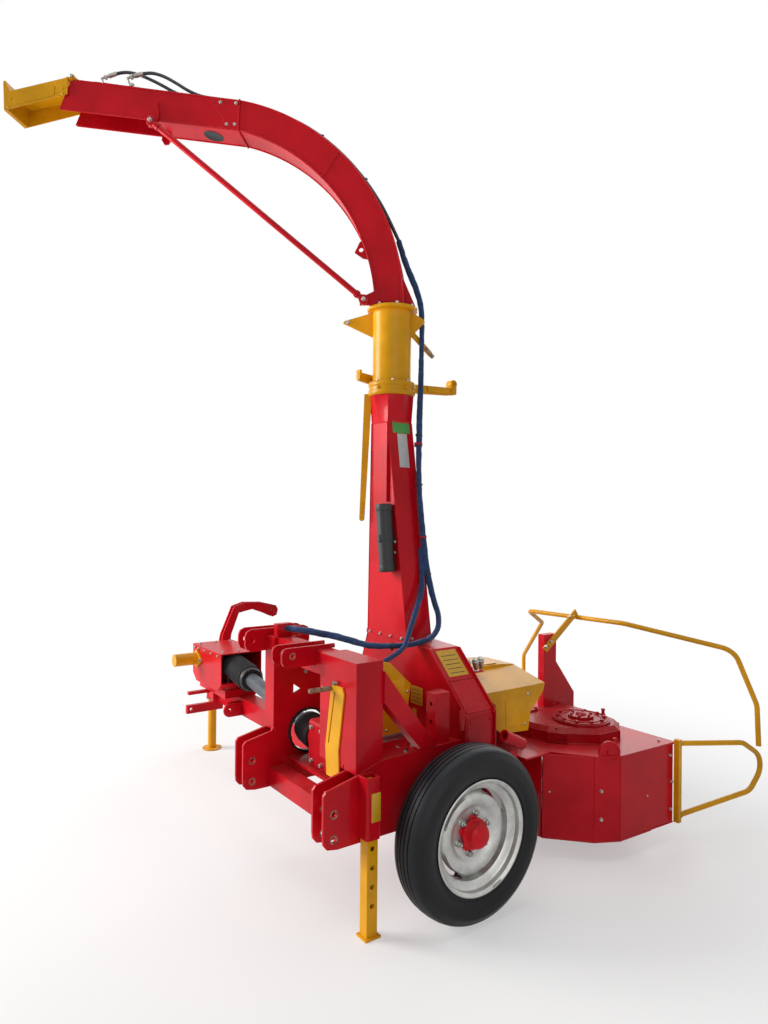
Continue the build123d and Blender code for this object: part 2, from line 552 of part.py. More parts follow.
def make_header():
    back = block(HEADER_BACK, HEADER_BACK + SHEET, -355, 355, FLOOR_Z, DECK_Z)
    low = both_halves([(HEADER_BACK, -368), (1284, -536), (1394, -593), (1610, -605)])
    floor = plate_xy(low, FLOOR_Z - 6, FLOOR_Z)
    add("header_back", back - throat_room(HEADER_BACK - 5, HEADER_BACK + 15) + floor)
    wall = wall_strip(SHEET, FLOOR_Z, DECK_Z) - back
    add("header_walls", wall, mirrored(wall))
    rim = both_halves([(1000, -385), (1165, -385), (1284, -546), (1392, -603), (HEADER_FRONT + 10, -622)])
    deck = plate_xy(rim, DECK_Z, DECK_Z + 8)
    for side in (-1, 1):
        y0, y1 = sorted((side * 619, side * 645))
        deck = deck - rod_z(ROTOR_X, side * ROTOR_Y, DECK_Z - 5, DECK_Z + 12, 30)
        deck = deck - block(HEADER_FRONT - 5, HEADER_FRONT + 15, y0, y1, DECK_Z - 10, DECK_Z + 20)
    add("header_deck", deck)
    make_rotors()
    make_header_gearbox()

    loops = []
    x0 = HEADER_FRONT + 26
    for side in (-1, 1):
        y0, y1 = sorted((side * 619, side * 645))
        post = block(HEADER_FRONT, x0, y0, y1, 95, DECK_Z + 20)
        loop = [(x0, side * 632, DECK_Z), (2120, side * 770, DECK_Z - 18), (2290, side * 800, DECK_Z - 125),
                (2180, side * 775, 205), (x0, side * 632, 125)]
        loops.append(union(post, bent_tube(loop, [70, 90, 80], GUIDE_R)))
    add("crop_loops", *loops)
    hoop = [(2235, -790, -50), (2236, -780, 150), (2080, -745, 435), (1770, -330, 540), (1770, 320, 530),
            (2000, 420, 430), (2200, 760, 150), (2235, 790, -50)]
    tube = bent_tube([(x, y, z + DECK_Z) for x, y, z in hoop], [80, 110, 60, 60, 60, 80], GUIDE_R)
    add("crop_hoop", tube)
    t = SHEET
    z0 = DECK_Z + 8
    mast = block(1512, 1606, -30, 12, z0, MAST_TOP)
    mast = mast - block(1512 + t, 1606 - t, -30 + t, 12 - t, z0 - 5, MAST_TOP - t)
    web = plate_xz([(1606, z0), (1606, DECK_Z + 305), (1626, DECK_Z + 305), (1771, DECK_Z + 124), (1771, z0)], -15, -3)
    add("guide_mast", mast + web - header_gearbox_solid())
    ends = [(1524, MAST_TOP - 92), (1500, MAST_TOP - 64), (1752, MAST_TOP + 120), (1774, MAST_TOP + 92)]
    strip = plate_xz(ends, -38, -30)
    for x, z in ((1536, MAST_TOP - 62), (1740, MAST_TOP + 88)):
        strip = strip - rod_y(x, z, -45, -25, 6)
    add("guide_clamp", strip - tube)


def header_gearbox_solid():
    return NODES["header_gearbox"][0]


# ---------------------------------------------------------------- lateral drive unit
def make_unit():
    shape = [(UNIT_Y0, 545), (UNIT_Y0, UNIT_Z1), (UNIT_Y1, UNIT_Z1), (UNIT_Y1, 545), (UNIT_Y1 - 60, UNIT_Z0),
             (UNIT_Y0 + 60, UNIT_Z0)]
    inner = [(UNIT_Y0 - 5, 551), (UNIT_Y0 - 5, UNIT_Z1 - 6), (UNIT_Y1 - 6, UNIT_Z1 - 6), (UNIT_Y1 - 6, 548),
             (UNIT_Y1 - 62, UNIT_Z0 + 6), (UNIT_Y0 + 58, UNIT_Z0 + 6), (UNIT_Y0, 551)]
    box = plate_yz(shape, UNIT_X0, UNIT_X1) - plate_yz(inner, UNIT_X0 + 6, UNIT_X1 - 6)
    box = box - rod_x(1743, 642, UNIT_X0 - 5, UNIT_X0 + 10, 40)
    add("unit_housing", box)
    case = block(370, 500, 1640, 1800, 560, 700)
    case = fillet(case.edges(), 14)
    foot = block(385, 485, 1660, 1750, UNIT_Z0 + 6, 570)
    stub = rod_x(1743, 642, 262, 380, 17.5)
    add("unit_gearbox", union(case, foot, stub, rod_y(435, 648, UNIT_BOSS_Y, 1650, 48)))
    cap = rod_x(1743, 642, 150, UNIT_X0, 38) - rod_x(1743, 642, 154, UNIT_X0 + 5, 34)
    diamond = [(1658, 642), (1743, 700), (1828, 642), (1743, 584)]
    flange = plate_yz(diamond, UNIT_X0 - 10, UNIT_X0) - rod_x(1743, 642, UNIT_X0 - 15, UNIT_X0 + 5, 38)
    add("pto_cap", cap + flange)
    a = (BOX_X, 196, SHAFT_Z)
    b = (430, 1594, 646)
    va, vb = Vector(*a), Vector(*b)
    d = (vb - va).normalized()
    add("cardan_shaft", bar(va + d * 120, vb - d * 100, 36))
    bell_near = bar(va - d * 20, va + d * 120, 70) - block(0, 600, 100, BOSS_END, 400, 700)
    bell_far = bar(vb - d * 100, vb + d * 15, 66) - block(300, 600, UNIT_BOSS_Y, 1700, 500, 800)
    far_in = -near_inner_face()
    collar = rod_y(BOX_X, SHAFT_Z, far_in - 12, far_in, 101) - rod_y(BOX_X, SHAFT_Z, far_in - 15, far_in + 5, 92)
    add("cardan_guards", bell_near, bell_far, collar)
    beam = block(430, 530, -near_inner_face() + PLATE, 1870, 352, 452) - block(438, 522, 300, 1875, 360, 444)
    saddle = block(340, 540, 1400, 1800, 452, UNIT_Z0) - block(352, 528, 1412, 1788, 445, 505)
    add("unit_beam", beam + saddle)
    lower = block(234, 470, 1735, 1765, 301, 352) + block(244, 430, 1735, 1765, 417, 436)
    lower = lower + block(404, 430, 1735, 1765, 301, 440) - rod_y(262, 326, 1730, 1770, PIN_LOW_R)
    pair = []
    for y0, x in ((1360, 355), (1404, 378)):
        plate = rod_y(x, 390, y0, y0 + PLATE, 38) + block(x, 430, y0, y0 + PLATE, 352, 428)
        pair.append(plate - rod_y(x, 390, y0 - 5, y0 + PLATE + 5, PIN_LOW_R))
    add("unit_lower_brackets", lower, *pair)
    masts = []
    for y0 in (UNIT_Y1, UNIT_Y1 + 40):
        arch = plate_xz([(470, 600), (501, 760), (578, 940), (654, 962), (781, 955), (885, 928), (900, 900),
                         (890, 862), (860, 852), (800, 880), (709, 914), (612, 896), (560, 760), (540, 600)],
                        y0, y0 + 10)
        masts.append(arch - rod_y(UNIT_EYE[0], UNIT_EYE[1], y0 - 5, y0 + 15, 12.7))
    tie = block(490, 530, UNIT_Y1 + 10, UNIT_Y1 + 40, 610, 650)
    add("unit_mast", union(masts[0], tie, masts[1]))


# ---------------------------------------------------------------- feed rollers
def make_feed_rollers():
    for side, tag in ((-1, "near"), (1, "far")):
        y = side * ROLLER_Y
        z0, z1 = THROAT_Z0 + SHEET + 6, THROAT_Z1 - SHEET - 6
        barrel = rod_z(ROLLER_X, y, z0, z1, 44)
        for i in range(8):
            rib = Pos(ROLLER_X, y, (z0 + z1) / 2) * Rot(0, 0, 45 * i) * Pos(50, 0, 0) * Box(20, 8, z1 - z0)
            barrel = barrel + rib
        add("feed_roller_" + tag, barrel + rod_z(ROLLER_X, y, z0 - 5.7, z1 + 5.7, 15))


# ---------------------------------------------------------------- hydraulic hoses
SLEEVE_R = 13.5
HOSE_R = 8.0
# routes: the sleeve on the tower in X, Y, Z; the others along the spout (s, height, offset to the far side)
SLEEVE_LOWER = [(810, 149.2, 2250), (810, 149.2, 2190), (805, 140, 2115), (800, 130, 2030), (797, 112, 1900),
                (796, 92, 1760), (794, 66, 1600), (797, 40, 1450), (800, 12, 1310), (806, -14, 1180),
                (790, -52, 1075), (715, -78, 1030), (610, -72, 1022), (500, -48, 1024), (400, 0, 1030),
                (320, 90, 1036), (220, 190, 1040), (165, -near_inner_face() - 18, 1038),
                (150, -near_inner_face() + 32, 1037)]
SLEEVE_UPPER = [(-28, 2900, 0), (-48, 2830, 2), (-78, 2750, 6), (-116, 2665, 12), (-140, 2585, 22), (-143, 2510, 27),
                (-145, 2425, 25), (-143, 2338, 16), (-143, 2250.3, 16)]
LINE_1 = [(1462, 3790, 20), (1400, 3806, 18), (1330, 3798, 14), (1260, 3768, 12), (1190, 3730, 10), (1115, 3688, 10), (1030, 3666, 10),
          (920, 3647, 10), (810, 3627, 10), (700, 3598, 10), (590, 3560, 10), (480, 3508, 10), (380, 3446, 10),
          (288, 3370, 10), (200, 3280, 10), (121, 3178, 10), (54, 3069, 10), (4, 2968, 10), (-28, 2900.5, 8.6)]
LINE_2 = [(1307, 3764, -18), (1245, 3776, -20), (1175, 3760, -18), (1105, 3722, -14), (1045, 3684, -10), (980, 3660, -10),
          (880, 3642, -10), (760, 3618, -10), (645, 3582, -10), (535, 3536, -10), (430, 3479, -10),
          (334, 3409, -10), (244, 3326, -10), (160, 3230, -10), (86, 3125, -10), (26, 3020, -10), (-28, 2900.5, -8.6)]


def corner_radii(points):
    """Radius at each inner corner: 0.45 of its shorter run over the tangent of half its turn."""
    v = [Vector(*p) for p in points]
    radii = []
    for a, b, c in zip(v, v[1:], v[2:]):
        turn = radians((b - a).get_angle(c - b))
        radii.append(0.45 * min((b - a).length, (c - b).length) / tan(turn / 2))
    return radii


def spout_route(points):
    sp = spout_plane()
    return [tuple(sp.from_local_coords((s, z, n))) for s, z, n in points]


def hose(points, r):
    radii = corner_radii(points)
    print("bend radii of a hose of", 2 * r, "mm:", round(min(radii)), "to", round(max(radii)))
    return bent_tube(points, radii, r)


def make_hoses():
    sp = spout_plane()
    lower = hose(SLEEVE_LOWER, SLEEVE_R)
    upper = hose(spout_route(SLEEVE_UPPER), SLEEVE_R)
    unions = []
    lines = []
    for route, foot in ((LINE_1, (1478, 3730)), (LINE_2, (1320, 3700))):
        s, z, n = route[0]
        stub = bar(sp.from_local_coords((foot[0], foot[1], n)), sp.from_local_coords((s, z + 10, n)), 10)
        unions.append(stub)
        lines.append(hose(spout_route(route), HOSE_R) - upper - stub)
    room = hose(SLEEVE_LOWER, SLEEVE_R + 0.3)
    far_in = -near_inner_face()
    clips = [block(110, 190, far_in + 8, far_in + 42, HEADSTOCK_TOP, 1062) - room]
    for y, z in ((40, 1450), (112, 1900)):
        clips.append(block(TOWER_X1, 792, y - 18, y + 50, z - 12, z + 12) - room)
    add("sleeve_clips", *clips)
    add("hose_sleeve_lower", lower)
    add("hose_sleeve_upper", upper)
    add("hose_lines", *lines)
    cover = NODES["cylinder_cover"][0]
    add("hose_unions", unions[0] - cover, unions[1] - cover)


make_headstock()
make_stands()
make_drive()
make_chopper()
make_tower()
make_spout()
make_wheel()
make_header()
make_unit()
make_feed_rollers()
make_hoses()

boxes = [s.bounding_box() for shapes in NODES.values() for s in shapes]
LOW = [min(getattr(b.min, k) for b in boxes) for k in "XYZ"]
HIGH = [max(getattr(b.max, k) for b in boxes) for k in "XYZ"]
ORIGIN = ((LOW[0] + HIGH[0]) / 2, (LOW[1] + HIGH[1]) / 2, LOW[2])

os.makedirs("parts", exist_ok=True)
for name, shapes in NODES.items():
    moved = [Pos(-ORIGIN[0], -ORIGIN[1], -ORIGIN[2]) * s for s in shapes]
    export_step(moved[0] if len(moved) == 1 else Compound(children=moved), "parts/" + name + ".step")
print("origin", [round(v, 2) for v in ORIGIN], "size", [round(h - l, 1) for h, l in zip(HIGH, LOW)], len(NODES))
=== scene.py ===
"""Looks of a mounted forage harvester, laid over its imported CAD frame.

Sizes are in metres. A place on the machine is given in the maker's own axes (X from the lower hitch
pins to the header, Y from the hitch centre line, Z from the ground) and at() turns it into the frame's.
"""

import math

import bmesh
import bpy
from mathutils import Matrix, Vector, noise


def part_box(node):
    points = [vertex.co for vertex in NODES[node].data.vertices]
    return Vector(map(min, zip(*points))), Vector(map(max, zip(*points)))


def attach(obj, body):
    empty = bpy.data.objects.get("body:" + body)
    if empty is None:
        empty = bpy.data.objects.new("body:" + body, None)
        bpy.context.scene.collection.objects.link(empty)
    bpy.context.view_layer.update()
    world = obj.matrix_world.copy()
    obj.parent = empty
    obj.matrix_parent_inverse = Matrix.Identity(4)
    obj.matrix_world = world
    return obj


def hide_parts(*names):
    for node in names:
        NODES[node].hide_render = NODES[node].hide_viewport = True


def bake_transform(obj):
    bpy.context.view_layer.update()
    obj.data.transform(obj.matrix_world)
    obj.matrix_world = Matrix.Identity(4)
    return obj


bl_info = {
    "name": "Forage Harvester Looks",
    "version": (1, 0, 0),
    "blender": (4, 5, 0),
    "location": "3D View > Sidebar > Harvester",
    "description": "Paint, rubber, hoses, fasteners and plates of a mounted forage harvester",
    "category": "Object",
}

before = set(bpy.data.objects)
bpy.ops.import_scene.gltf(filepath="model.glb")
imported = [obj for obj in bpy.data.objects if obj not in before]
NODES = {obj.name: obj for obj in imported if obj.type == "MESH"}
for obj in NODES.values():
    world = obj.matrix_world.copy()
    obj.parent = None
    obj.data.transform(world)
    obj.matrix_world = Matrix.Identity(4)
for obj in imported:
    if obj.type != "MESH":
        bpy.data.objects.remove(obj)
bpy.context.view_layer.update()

PLATES_LOW, PLATES_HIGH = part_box("side_plates")
HITCH_REACH = 0.045           # the side plates' noses stand this far in front of the lower hitch pins
ORIGIN = Vector((PLATES_LOW.x + HITCH_REACH, (PLATES_LOW.y + PLATES_HIGH.y) / 2, 0.0))


def at(x, y, z):
    """A place in the maker's axes, in metres, as a place in the frame."""
    return ORIGIN + Vector((x, y, z))


def middle(node):
    low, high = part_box(node)
    return (low + high) / 2


TYRE_LOW, TYRE_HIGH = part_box("tyre")
WHEEL = (TYRE_LOW + TYRE_HIGH) / 2
TYRE_R = (TYRE_HIGH.z - TYRE_LOW.z) / 2
SPOUT_AXIS = middle("tower_funnel")
SPOUT_AXIS.z = 0.0
SPOUT_TURN = math.radians(138.0)
ALONG = Vector((math.cos(SPOUT_TURN), math.sin(SPOUT_TURN), 0.0))
ASIDE = Vector((math.sin(SPOUT_TURN), -math.cos(SPOUT_TURN), 0.0))
UP = Vector((0.0, 0.0, 1.0))
X, Y, Z = Vector((1, 0, 0)), Vector((0, 1, 0)), Vector((0, 0, 1))
# width, height and facing of a plate
NEAR, FRONT, BACK, LEVEL = (X, Z, -Y), (Y, Z, -X), (Y, Z, X), (X, Y, Z)


def on_spout(s, z, n=0.0):
    """A place in the spout's upright plane: out along the spout, height, offset to its far side."""
    return SPOUT_AXIS + ALONG * s + UP * z + ASIDE * n


# ------------------------------------------------------------------ settings of the add-on
class PaintSettings(bpy.types.PropertyGroup):
    """Colours of the paints and finishes."""

    red: bpy.props.FloatVectorProperty(
        name="Body red", description="Colour of the body paint", subtype="COLOR", size=3,
        default=(0.60, 0.002, 0.011), min=0, max=1)
    yellow: bpy.props.FloatVectorProperty(
        name="Guard yellow", description="Colour of guards, stands and the turntable", subtype="COLOR",
        size=3, default=(0.78, 0.37, 0.004), min=0, max=1)
    silver: bpy.props.FloatVectorProperty(
        name="Rim silver", description="Colour of the wheel rim", subtype="COLOR", size=3,
        default=(0.60, 0.60, 0.58), min=0, max=1)
    sleeve: bpy.props.FloatVectorProperty(
        name="Sleeve blue", description="Colour of the woven hose sleeve", subtype="COLOR", size=3,
        default=(0.02, 0.055, 0.16), min=0, max=1)
    # Wear also scales the pale paint edges, which are partly a painted highlight.
    wear: bpy.props.FloatProperty(
        name="Wear", description="How much dust and edge wear the paint shows", default=0.35, min=0, max=1,
        subtype="FACTOR")


class WheelSettings(bpy.types.PropertyGroup):
    """Sizes of the tyre and the rim."""

    grooves: bpy.props.IntProperty(
        name="Grooves", description="Grooves round the tread", default=4, min=0, max=8)
    groove_depth: bpy.props.FloatProperty(
        name="Groove depth", description="Depth of the tread grooves", default=0.008, unit="LENGTH")
    studs: bpy.props.IntProperty(name="Studs", description="Wheel studs", default=6, min=3, max=10)


class HoseSettings(bpy.types.PropertyGroup):
    """Sizes of the hydraulic hoses."""

    sleeve_diameter: bpy.props.FloatProperty(
        name="Sleeve diameter", description="Outside of the woven sleeve", default=0.027, unit="LENGTH")
    hose_diameter: bpy.props.FloatProperty(
        name="Hose diameter", description="Outside of one hose", default=0.016, unit="LENGTH")


class StageSettings(bpy.types.PropertyGroup):
    """Light and camera."""

    key_strength: bpy.props.FloatProperty(
        name="Key light", description="Power of the large lamp", default=620.0, unit="POWER")
    lens: bpy.props.FloatProperty(name="Lens", description="Focal length", default=24.97, unit="CAMERA")


# ------------------------------------------------------------------ shader maths
BEVEL_SAMPLES = 6


class Field:
    """A socket whose value varies over a surface. Arithmetic on it adds the Math nodes."""

    def __init__(self, graph, socket):
        self.graph = graph
        self.socket = socket

    def __add__(self, other):
        return self.graph.maths("ADD", self, other)

    def __sub__(self, other):
        return self.graph.maths("SUBTRACT", self, other)

    def __mul__(self, other):
        return self.graph.maths("MULTIPLY", self, other)

    def __radd__(self, other):
        return self.graph.maths("ADD", other, self)

    def __rsub__(self, other):
        return self.graph.maths("SUBTRACT", other, self)

    def __rmul__(self, other):
        return self.graph.maths("MULTIPLY", other, self)

    def between(self, low, high):
        """0 below low, 1 above high, smooth between."""
        return self.graph.node("ShaderNodeMapRange", {"interpolation_type": "SMOOTHSTEP"},
                               {"Value": self, "From Min": low, "From Max": high})


class Graph:
    """The nodes of a material or of the world."""

    def __init__(self, tree):
        self.tree = tree

    def node(self, kind, settings=None, inputs=None, output=0):
        """One node: its settings first, then a value or a link for each socket named."""
        made = self.tree.nodes.new(kind)
        for name, value in (settings or {}).items():
            setattr(made, name, value)
        self.feed(made, inputs or {})
        return Field(self, made.outputs[output])

    def maths(self, operation, *values):
        return self.node("ShaderNodeMath", {"operation": operation}, dict(enumerate(values)))

    def vector(self, operation, *values, output=0):
        return self.node("ShaderNodeVectorMath", {"operation": operation}, dict(enumerate(values)), output)

    def feed(self, node, inputs):
        for name, value in inputs.items():
            if isinstance(value, Field):
                self.tree.links.new(value.socket, node.inputs[name])
            else:
                node.inputs[name].default_value = value

    def existing(self, kind):
        return next(node for node in self.tree.nodes if node.type == kind)

    def seen_by(self, ray):
        """1 for one kind of ray, such as the camera's."""
        return self.node("ShaderNodeLightPath", output="Is %s Ray" % ray)


class Finish(Graph):
    """One material, built up from fields."""

    def __init__(self, name, **constants):
        self.material = bpy.data.materials.new(name)
        self.material.use_nodes = True
        super().__init__(self.material.node_tree)
        self.shader = self.existing("BSDF_PRINCIPLED")
        self.feed(self.shader, {socket.replace("_", " ").title().replace("Ior", "IOR"): value
                                for socket, value in constants.items()})
        self.place = self.node("ShaderNodeTexCoord", output="Object")
        self.map = self.node("ShaderNodeTexCoord", output="UV")

    def noise(self, scale, detail=3.0, rough=0.5, stretch=None, seed=0.0):
        where = self.vector("MULTIPLY", self.place, stretch) if stretch else self.place
        return self.node("ShaderNodeTexNoise", {"noise_dimensions": "4D"},
                         {"Vector": where, "W": seed, "Scale": scale, "Detail": detail, "Roughness": rough})

    def part(self, vector, axis):
        return self.node("ShaderNodeSeparateXYZ", None, {0: vector}, axis)

    def mix(self, factor, first, second):
        """Colour between two, each a field or three numbers."""
        first, second = (c if isinstance(c, Field) else (*c, 1.0) for c in (first, second))
        return self.node("ShaderNodeMix", {"data_type": "RGBA"}, {0: factor, 6: first, 7: second}, 2)

    def edges(self, radius, low, high):
        """1 on sharp edges, from the turn between the true and the rounded normal."""
        flat = self.node("ShaderNodeNewGeometry", output="Normal")
        turn = 1.0 - self.vector("DOT_PRODUCT", self.rounded(radius), flat, output="Value")
        return turn.between(low, high)

    def rounded(self, radius):
        """The normal with sharp edges rounded off."""
        return self.node("ShaderNodeBevel", {"samples": BEVEL_SAMPLES}, {"Radius": radius})

    def upward(self):
        return self.part(self.node("ShaderNodeNewGeometry", output="Normal"), 2)

    def set(self, **fields):
        self.feed(self.shader, {name.replace("_", " ").title(): field for name, field in fields.items()})

    def bump(self, height, strength, distance, radius=None):
        inputs = {"Height": height, "Strength": strength, "Distance": distance}
        if radius:
            inputs["Normal"] = self.rounded(radius)
        self.set(Normal=self.node("ShaderNodeBump", None, inputs))


def shade(colour, factor, lift=0.0):
    """The colour made darker or paler."""
    return tuple(min(1.0, c * factor + lift) for c in colour)


def paint_finish(name, colour, wear, seed, dull=0.0):
    """Gloss paint on steel: slight orange peel, uneven colour, dust on top, pale edges that are partly wear
    and partly a painted highlight.
    """
    f = Finish(name, roughness=0.3, coat_weight=0.12, coat_roughness=0.07, specular_ior_level=0.10)
    cloud = f.noise(2.2, 4.0, 0.6, seed=seed)
    fine = f.noise(34.0, 5.0, 0.65, seed=seed + 1)
    streak = f.noise(9.0, 4.0, 0.6, stretch=(1.0, 1.0, 0.12), seed=seed + 2)
    base = f.mix(cloud.between(0.3, 0.72), shade(colour, 0.72), shade(colour, 1.12, 0.004))
    base = f.mix(streak.between(0.55, 0.8) * 0.25, base, shade(colour, 0.55))
    dust = f.upward().between(0.35, 0.95) * (0.2 + 0.8 * fine.between(0.35, 0.75)) * (wear * 0.7)
    base = f.mix(dust * 0.55, base, (0.36, 0.27, 0.24))
    # Pale edges: partly edge wear, partly a painted highlight where light catches the edges.
    worn = f.edges(0.0020, 0.12, 0.29) * fine.between(0.40, 0.66) * (wear * 1.5)
    base = f.mix(worn, base, shade(colour, 0.8, 0.10))
    scratch = f.noise(120.0, 2.0, 0.4, stretch=(1.0, 0.15, 0.6), seed=seed + 3)
    f.set(Base_Color=base, Roughness=0.2 + dull + 0.16 * cloud + 0.3 * dust + 0.08 * scratch,
          Coat_Weight=0.12 - 0.09 * dust)
    peel = f.noise(260.0, 2.0, 0.5, seed=seed + 4)
    f.bump(peel * 0.5 + fine * 0.5 + scratch * 0.3, 0.12, 0.0012, radius=0.0022)
    return f.material


def metal_finish(name, colour, rough, seed, rust, metallic=1.0):
    """Cast or plated metal with a grain and rust spots."""
    f = Finish(name, metallic=metallic, roughness=rough)
    grain = f.noise(180.0, 3.0, 0.6, seed=seed)
    cloud = f.noise(14.0, 5.0, 0.65, seed=seed + 1)
    base = f.mix(cloud.between(0.3, 0.7), shade(colour, 0.7), colour)
    spots = f.noise(55.0, 6.0, 0.7, seed=seed + 2)
    spots = spots.between(0.62 - 0.25 * rust, 0.74 - 0.2 * rust) * min(1.0, rust * 1.4)
    base = f.mix(spots, base, (0.16, 0.065, 0.025))
    f.set(Base_Color=base, Roughness=rough + 0.15 * grain + 0.3 * spots,
          Metallic=metallic - metallic * spots * 0.8)
    f.bump(grain * 0.6 + cloud * 0.3 + spots * 0.6, 0.2, 0.0008, radius=0.0012)
    return f.material


def rubber_finish(name, colour, seed):
    """Tyre rubber with dust, faint mould lines round the wheel and a browner sidewall."""
    f = Finish(name, roughness=0.5, specular_ior_level=0.22)
    centre = f.vector("SUBTRACT", f.place, tuple(WHEEL))
    x, z = f.part(centre, 0), f.part(centre, 2)
    radius = f.maths("SQRT", x * x + z * z)
    dirt = f.noise(26.0, 6.0, 0.7, seed=seed)
    cloud = f.noise(5.0, 4.0, 0.6, seed=seed + 1)
    rings = f.maths("SINE", radius * 2100.0)
    tread = radius.between(TYRE_R - 0.03, TYRE_R - 0.004)
    base = f.mix(cloud.between(0.35, 0.7), shade(colour, 0.8), shade(colour, 1.5))
    base = f.mix(tread * 0.6, base, (0.012, 0.014, 0.018))
    base = f.mix(dirt.between(0.55, 0.85) * 0.35, base, (0.04, 0.037, 0.026))
    f.set(Base_Color=base, Roughness=0.30 + 0.22 * dirt + 0.08 * tread)
    f.bump(dirt * 0.6 + rings * 0.05 + f.noise(400.0, 2.0, 0.6, seed=seed + 2) * 0.4, 0.25, 0.0014)
    return f.material


def plastic_finish(name, colour, seed, rough=0.45):
    f = Finish(name, roughness=rough, specular_ior_level=0.4)
    cloud = f.noise(18.0, 4.0, 0.6, seed=seed)
    grain = f.noise(600.0, 2.0, 0.6, seed=seed + 1)
    dust = f.noise(70.0, 5.0, 0.7, seed=seed + 2)
    base = f.mix(cloud.between(0.3, 0.7), shade(colour, 0.75), shade(colour, 1.3))
    base = f.mix(dust.between(0.58, 0.8) * 0.25, base, (0.09, 0.085, 0.075))
    f.set(Base_Color=base, Roughness=rough - 0.1 + 0.2 * cloud + 0.12 * grain)
    f.bump(grain * 0.5 + dust * 0.3, 0.2, 0.0006, radius=0.0012)
    return f.material


def woven_finish(name, colour, seed):
    """Woven sleeve: two sets of threads laid over each other along the tube."""
    f = Finish(name, roughness=0.8, specular_ior_level=0.25, sheen_weight=0.35, sheen_roughness=0.4)
    u, v = f.part(f.map, 0), f.part(f.map, 1)
    warp = f.maths("SINE", (u * 26.0 + v * 190.0) * math.tau)
    weft = f.maths("SINE", (u * 26.0 - v * 190.0) * math.tau)
    weave = f.maths("MAXIMUM", warp, weft)
    cloud = f.noise(22.0, 5.0, 0.65, seed=seed)
    fade = f.noise(7.0, 3.0, 0.5, seed=seed + 1)
    base = f.mix(weave.between(-0.2, 1.0), shade(colour, 0.45), colour)
    base = f.mix(cloud.between(0.45, 0.75) * 0.6, base, shade(colour, 2.1, 0.02))
    base = f.mix(fade.between(0.5, 0.8) * 0.4, base, (0.012, 0.02, 0.045))
    f.set(Base_Color=base, Roughness=0.62 + 0.25 * cloud)
    f.bump(weave * 0.4 + cloud * 0.6, 0.5, 0.0014)
    return f.material


def hose_finish(name, colour, seed):
    """Wrapped rubber with a fine spiral."""
    f = Finish(name, roughness=0.5, specular_ior_level=0.45)
    u, v = f.part(f.map, 0), f.part(f.map, 1)
    wrap = f.maths("SINE", (v * 160.0 + u) * math.tau)
    dust = f.noise(60.0, 5.0, 0.7, seed=seed)
    base = f.mix(dust.between(0.45, 0.75) * 0.5, colour, (0.06, 0.06, 0.06))
    f.set(Base_Color=base, Roughness=0.36 + 0.3 * dust)
    f.bump(wrap * 0.3 + dust * 0.5, 0.25, 0.0008)
    return f.material


def plate_finish(name, colour, marks, seed):
    """Blank plate or sticker: plain colour with scuffs."""
    f = Finish(name, roughness=0.4)
    cloud = f.noise(40.0, 4.0, 0.6, seed=seed)
    scuff = f.noise(140.0, 5.0, 0.7, stretch=(1.0, 1.0, 0.4), seed=seed + 1)
    base = f.mix(cloud.between(0.35, 0.7) * 0.5, colour, shade(colour, 0.78))
    base = f.mix(scuff.between(0.58, 0.72) * 0.35, base, marks)
    f.set(Base_Color=base, Roughness=0.3 + 0.25 * cloud)
    f.bump(scuff, 0.15, 0.0004)
    return f.material


FINISHES = {}


def make_finishes(settings):
    red, wear = tuple(settings.red), settings.wear
    rows = (
        (paint_finish, "red_paint", red, wear, 1.0),
        (paint_finish, "casting_red", tuple(c * 0.8 for c in red), wear, 3.0, 0.12),
        (paint_finish, "yellow_paint", tuple(settings.yellow), wear, 5.0),
        (rubber_finish, "tyre_rubber", (0.0055, 0.006, 0.0072), 7.0),
        (metal_finish, "rim_silver", tuple(settings.silver), 0.36, 9.0, 0.04, 0.75),
        (metal_finish, "machined_steel", (0.42, 0.42, 0.42), 0.36, 11.0, 0.2),
        (metal_finish, "zinc", (0.4, 0.39, 0.36), 0.38, 13.0, 0.15),
        (metal_finish, "rusty_steel", (0.32, 0.25, 0.2), 0.5, 15.0, 0.7),
        (plastic_finish, "black_plastic", (0.010, 0.0105, 0.012), 17.0),
        (plastic_finish, "grey_plastic", (0.045, 0.055, 0.065), 19.0, 0.38),
        (woven_finish, "blue_sleeve", tuple(settings.sleeve), 21.0),
        (hose_finish, "black_hose", (0.016, 0.02, 0.032), 23.0),
        (plate_finish, "yellow_plate", (0.62, 0.34, 0.012), (0.2, 0.1, 0.02), 25.0),
        (plate_finish, "white_plate", (0.5, 0.5, 0.5), (0.2, 0.2, 0.2), 27.0),
        (plate_finish, "green_plate", (0.06, 0.3, 0.05), (0.3, 0.4, 0.02), 29.0),
    )
    for make, name, *values in rows:
        FINISHES[name] = make(name, *values)


# ------------------------------------------------------------------ mesh makers
SHARP_ANGLE = math.radians(35)


def across(direction):
    """Two unit vectors square to a direction."""
    direction = direction.normalized()
    side = UP if abs(direction.z) < 0.9 else X
    first = direction.cross(side).normalized()
    return first, direction.cross(first)


def spoke(angle, first=X, second=Y):
    """The way out from a centre at an angle, in the plane of two unit vectors."""
    return first * math.cos(angle) + second * math.sin(angle)


def circle(centre, first, second, radius, count, start=0.0):
    """Places round a centre; the radius may be a function of the angle."""
    angles = [start + math.tau * i / count for i in range(count)]
    return [centre + spoke(a, first, second) * (radius(a) if callable(radius) else radius) for a in angles]


def placed(place):
    """Three numbers are a place in the maker's axes; a vector is already in the frame."""
    return place if isinstance(place, Vector) else at(*place)


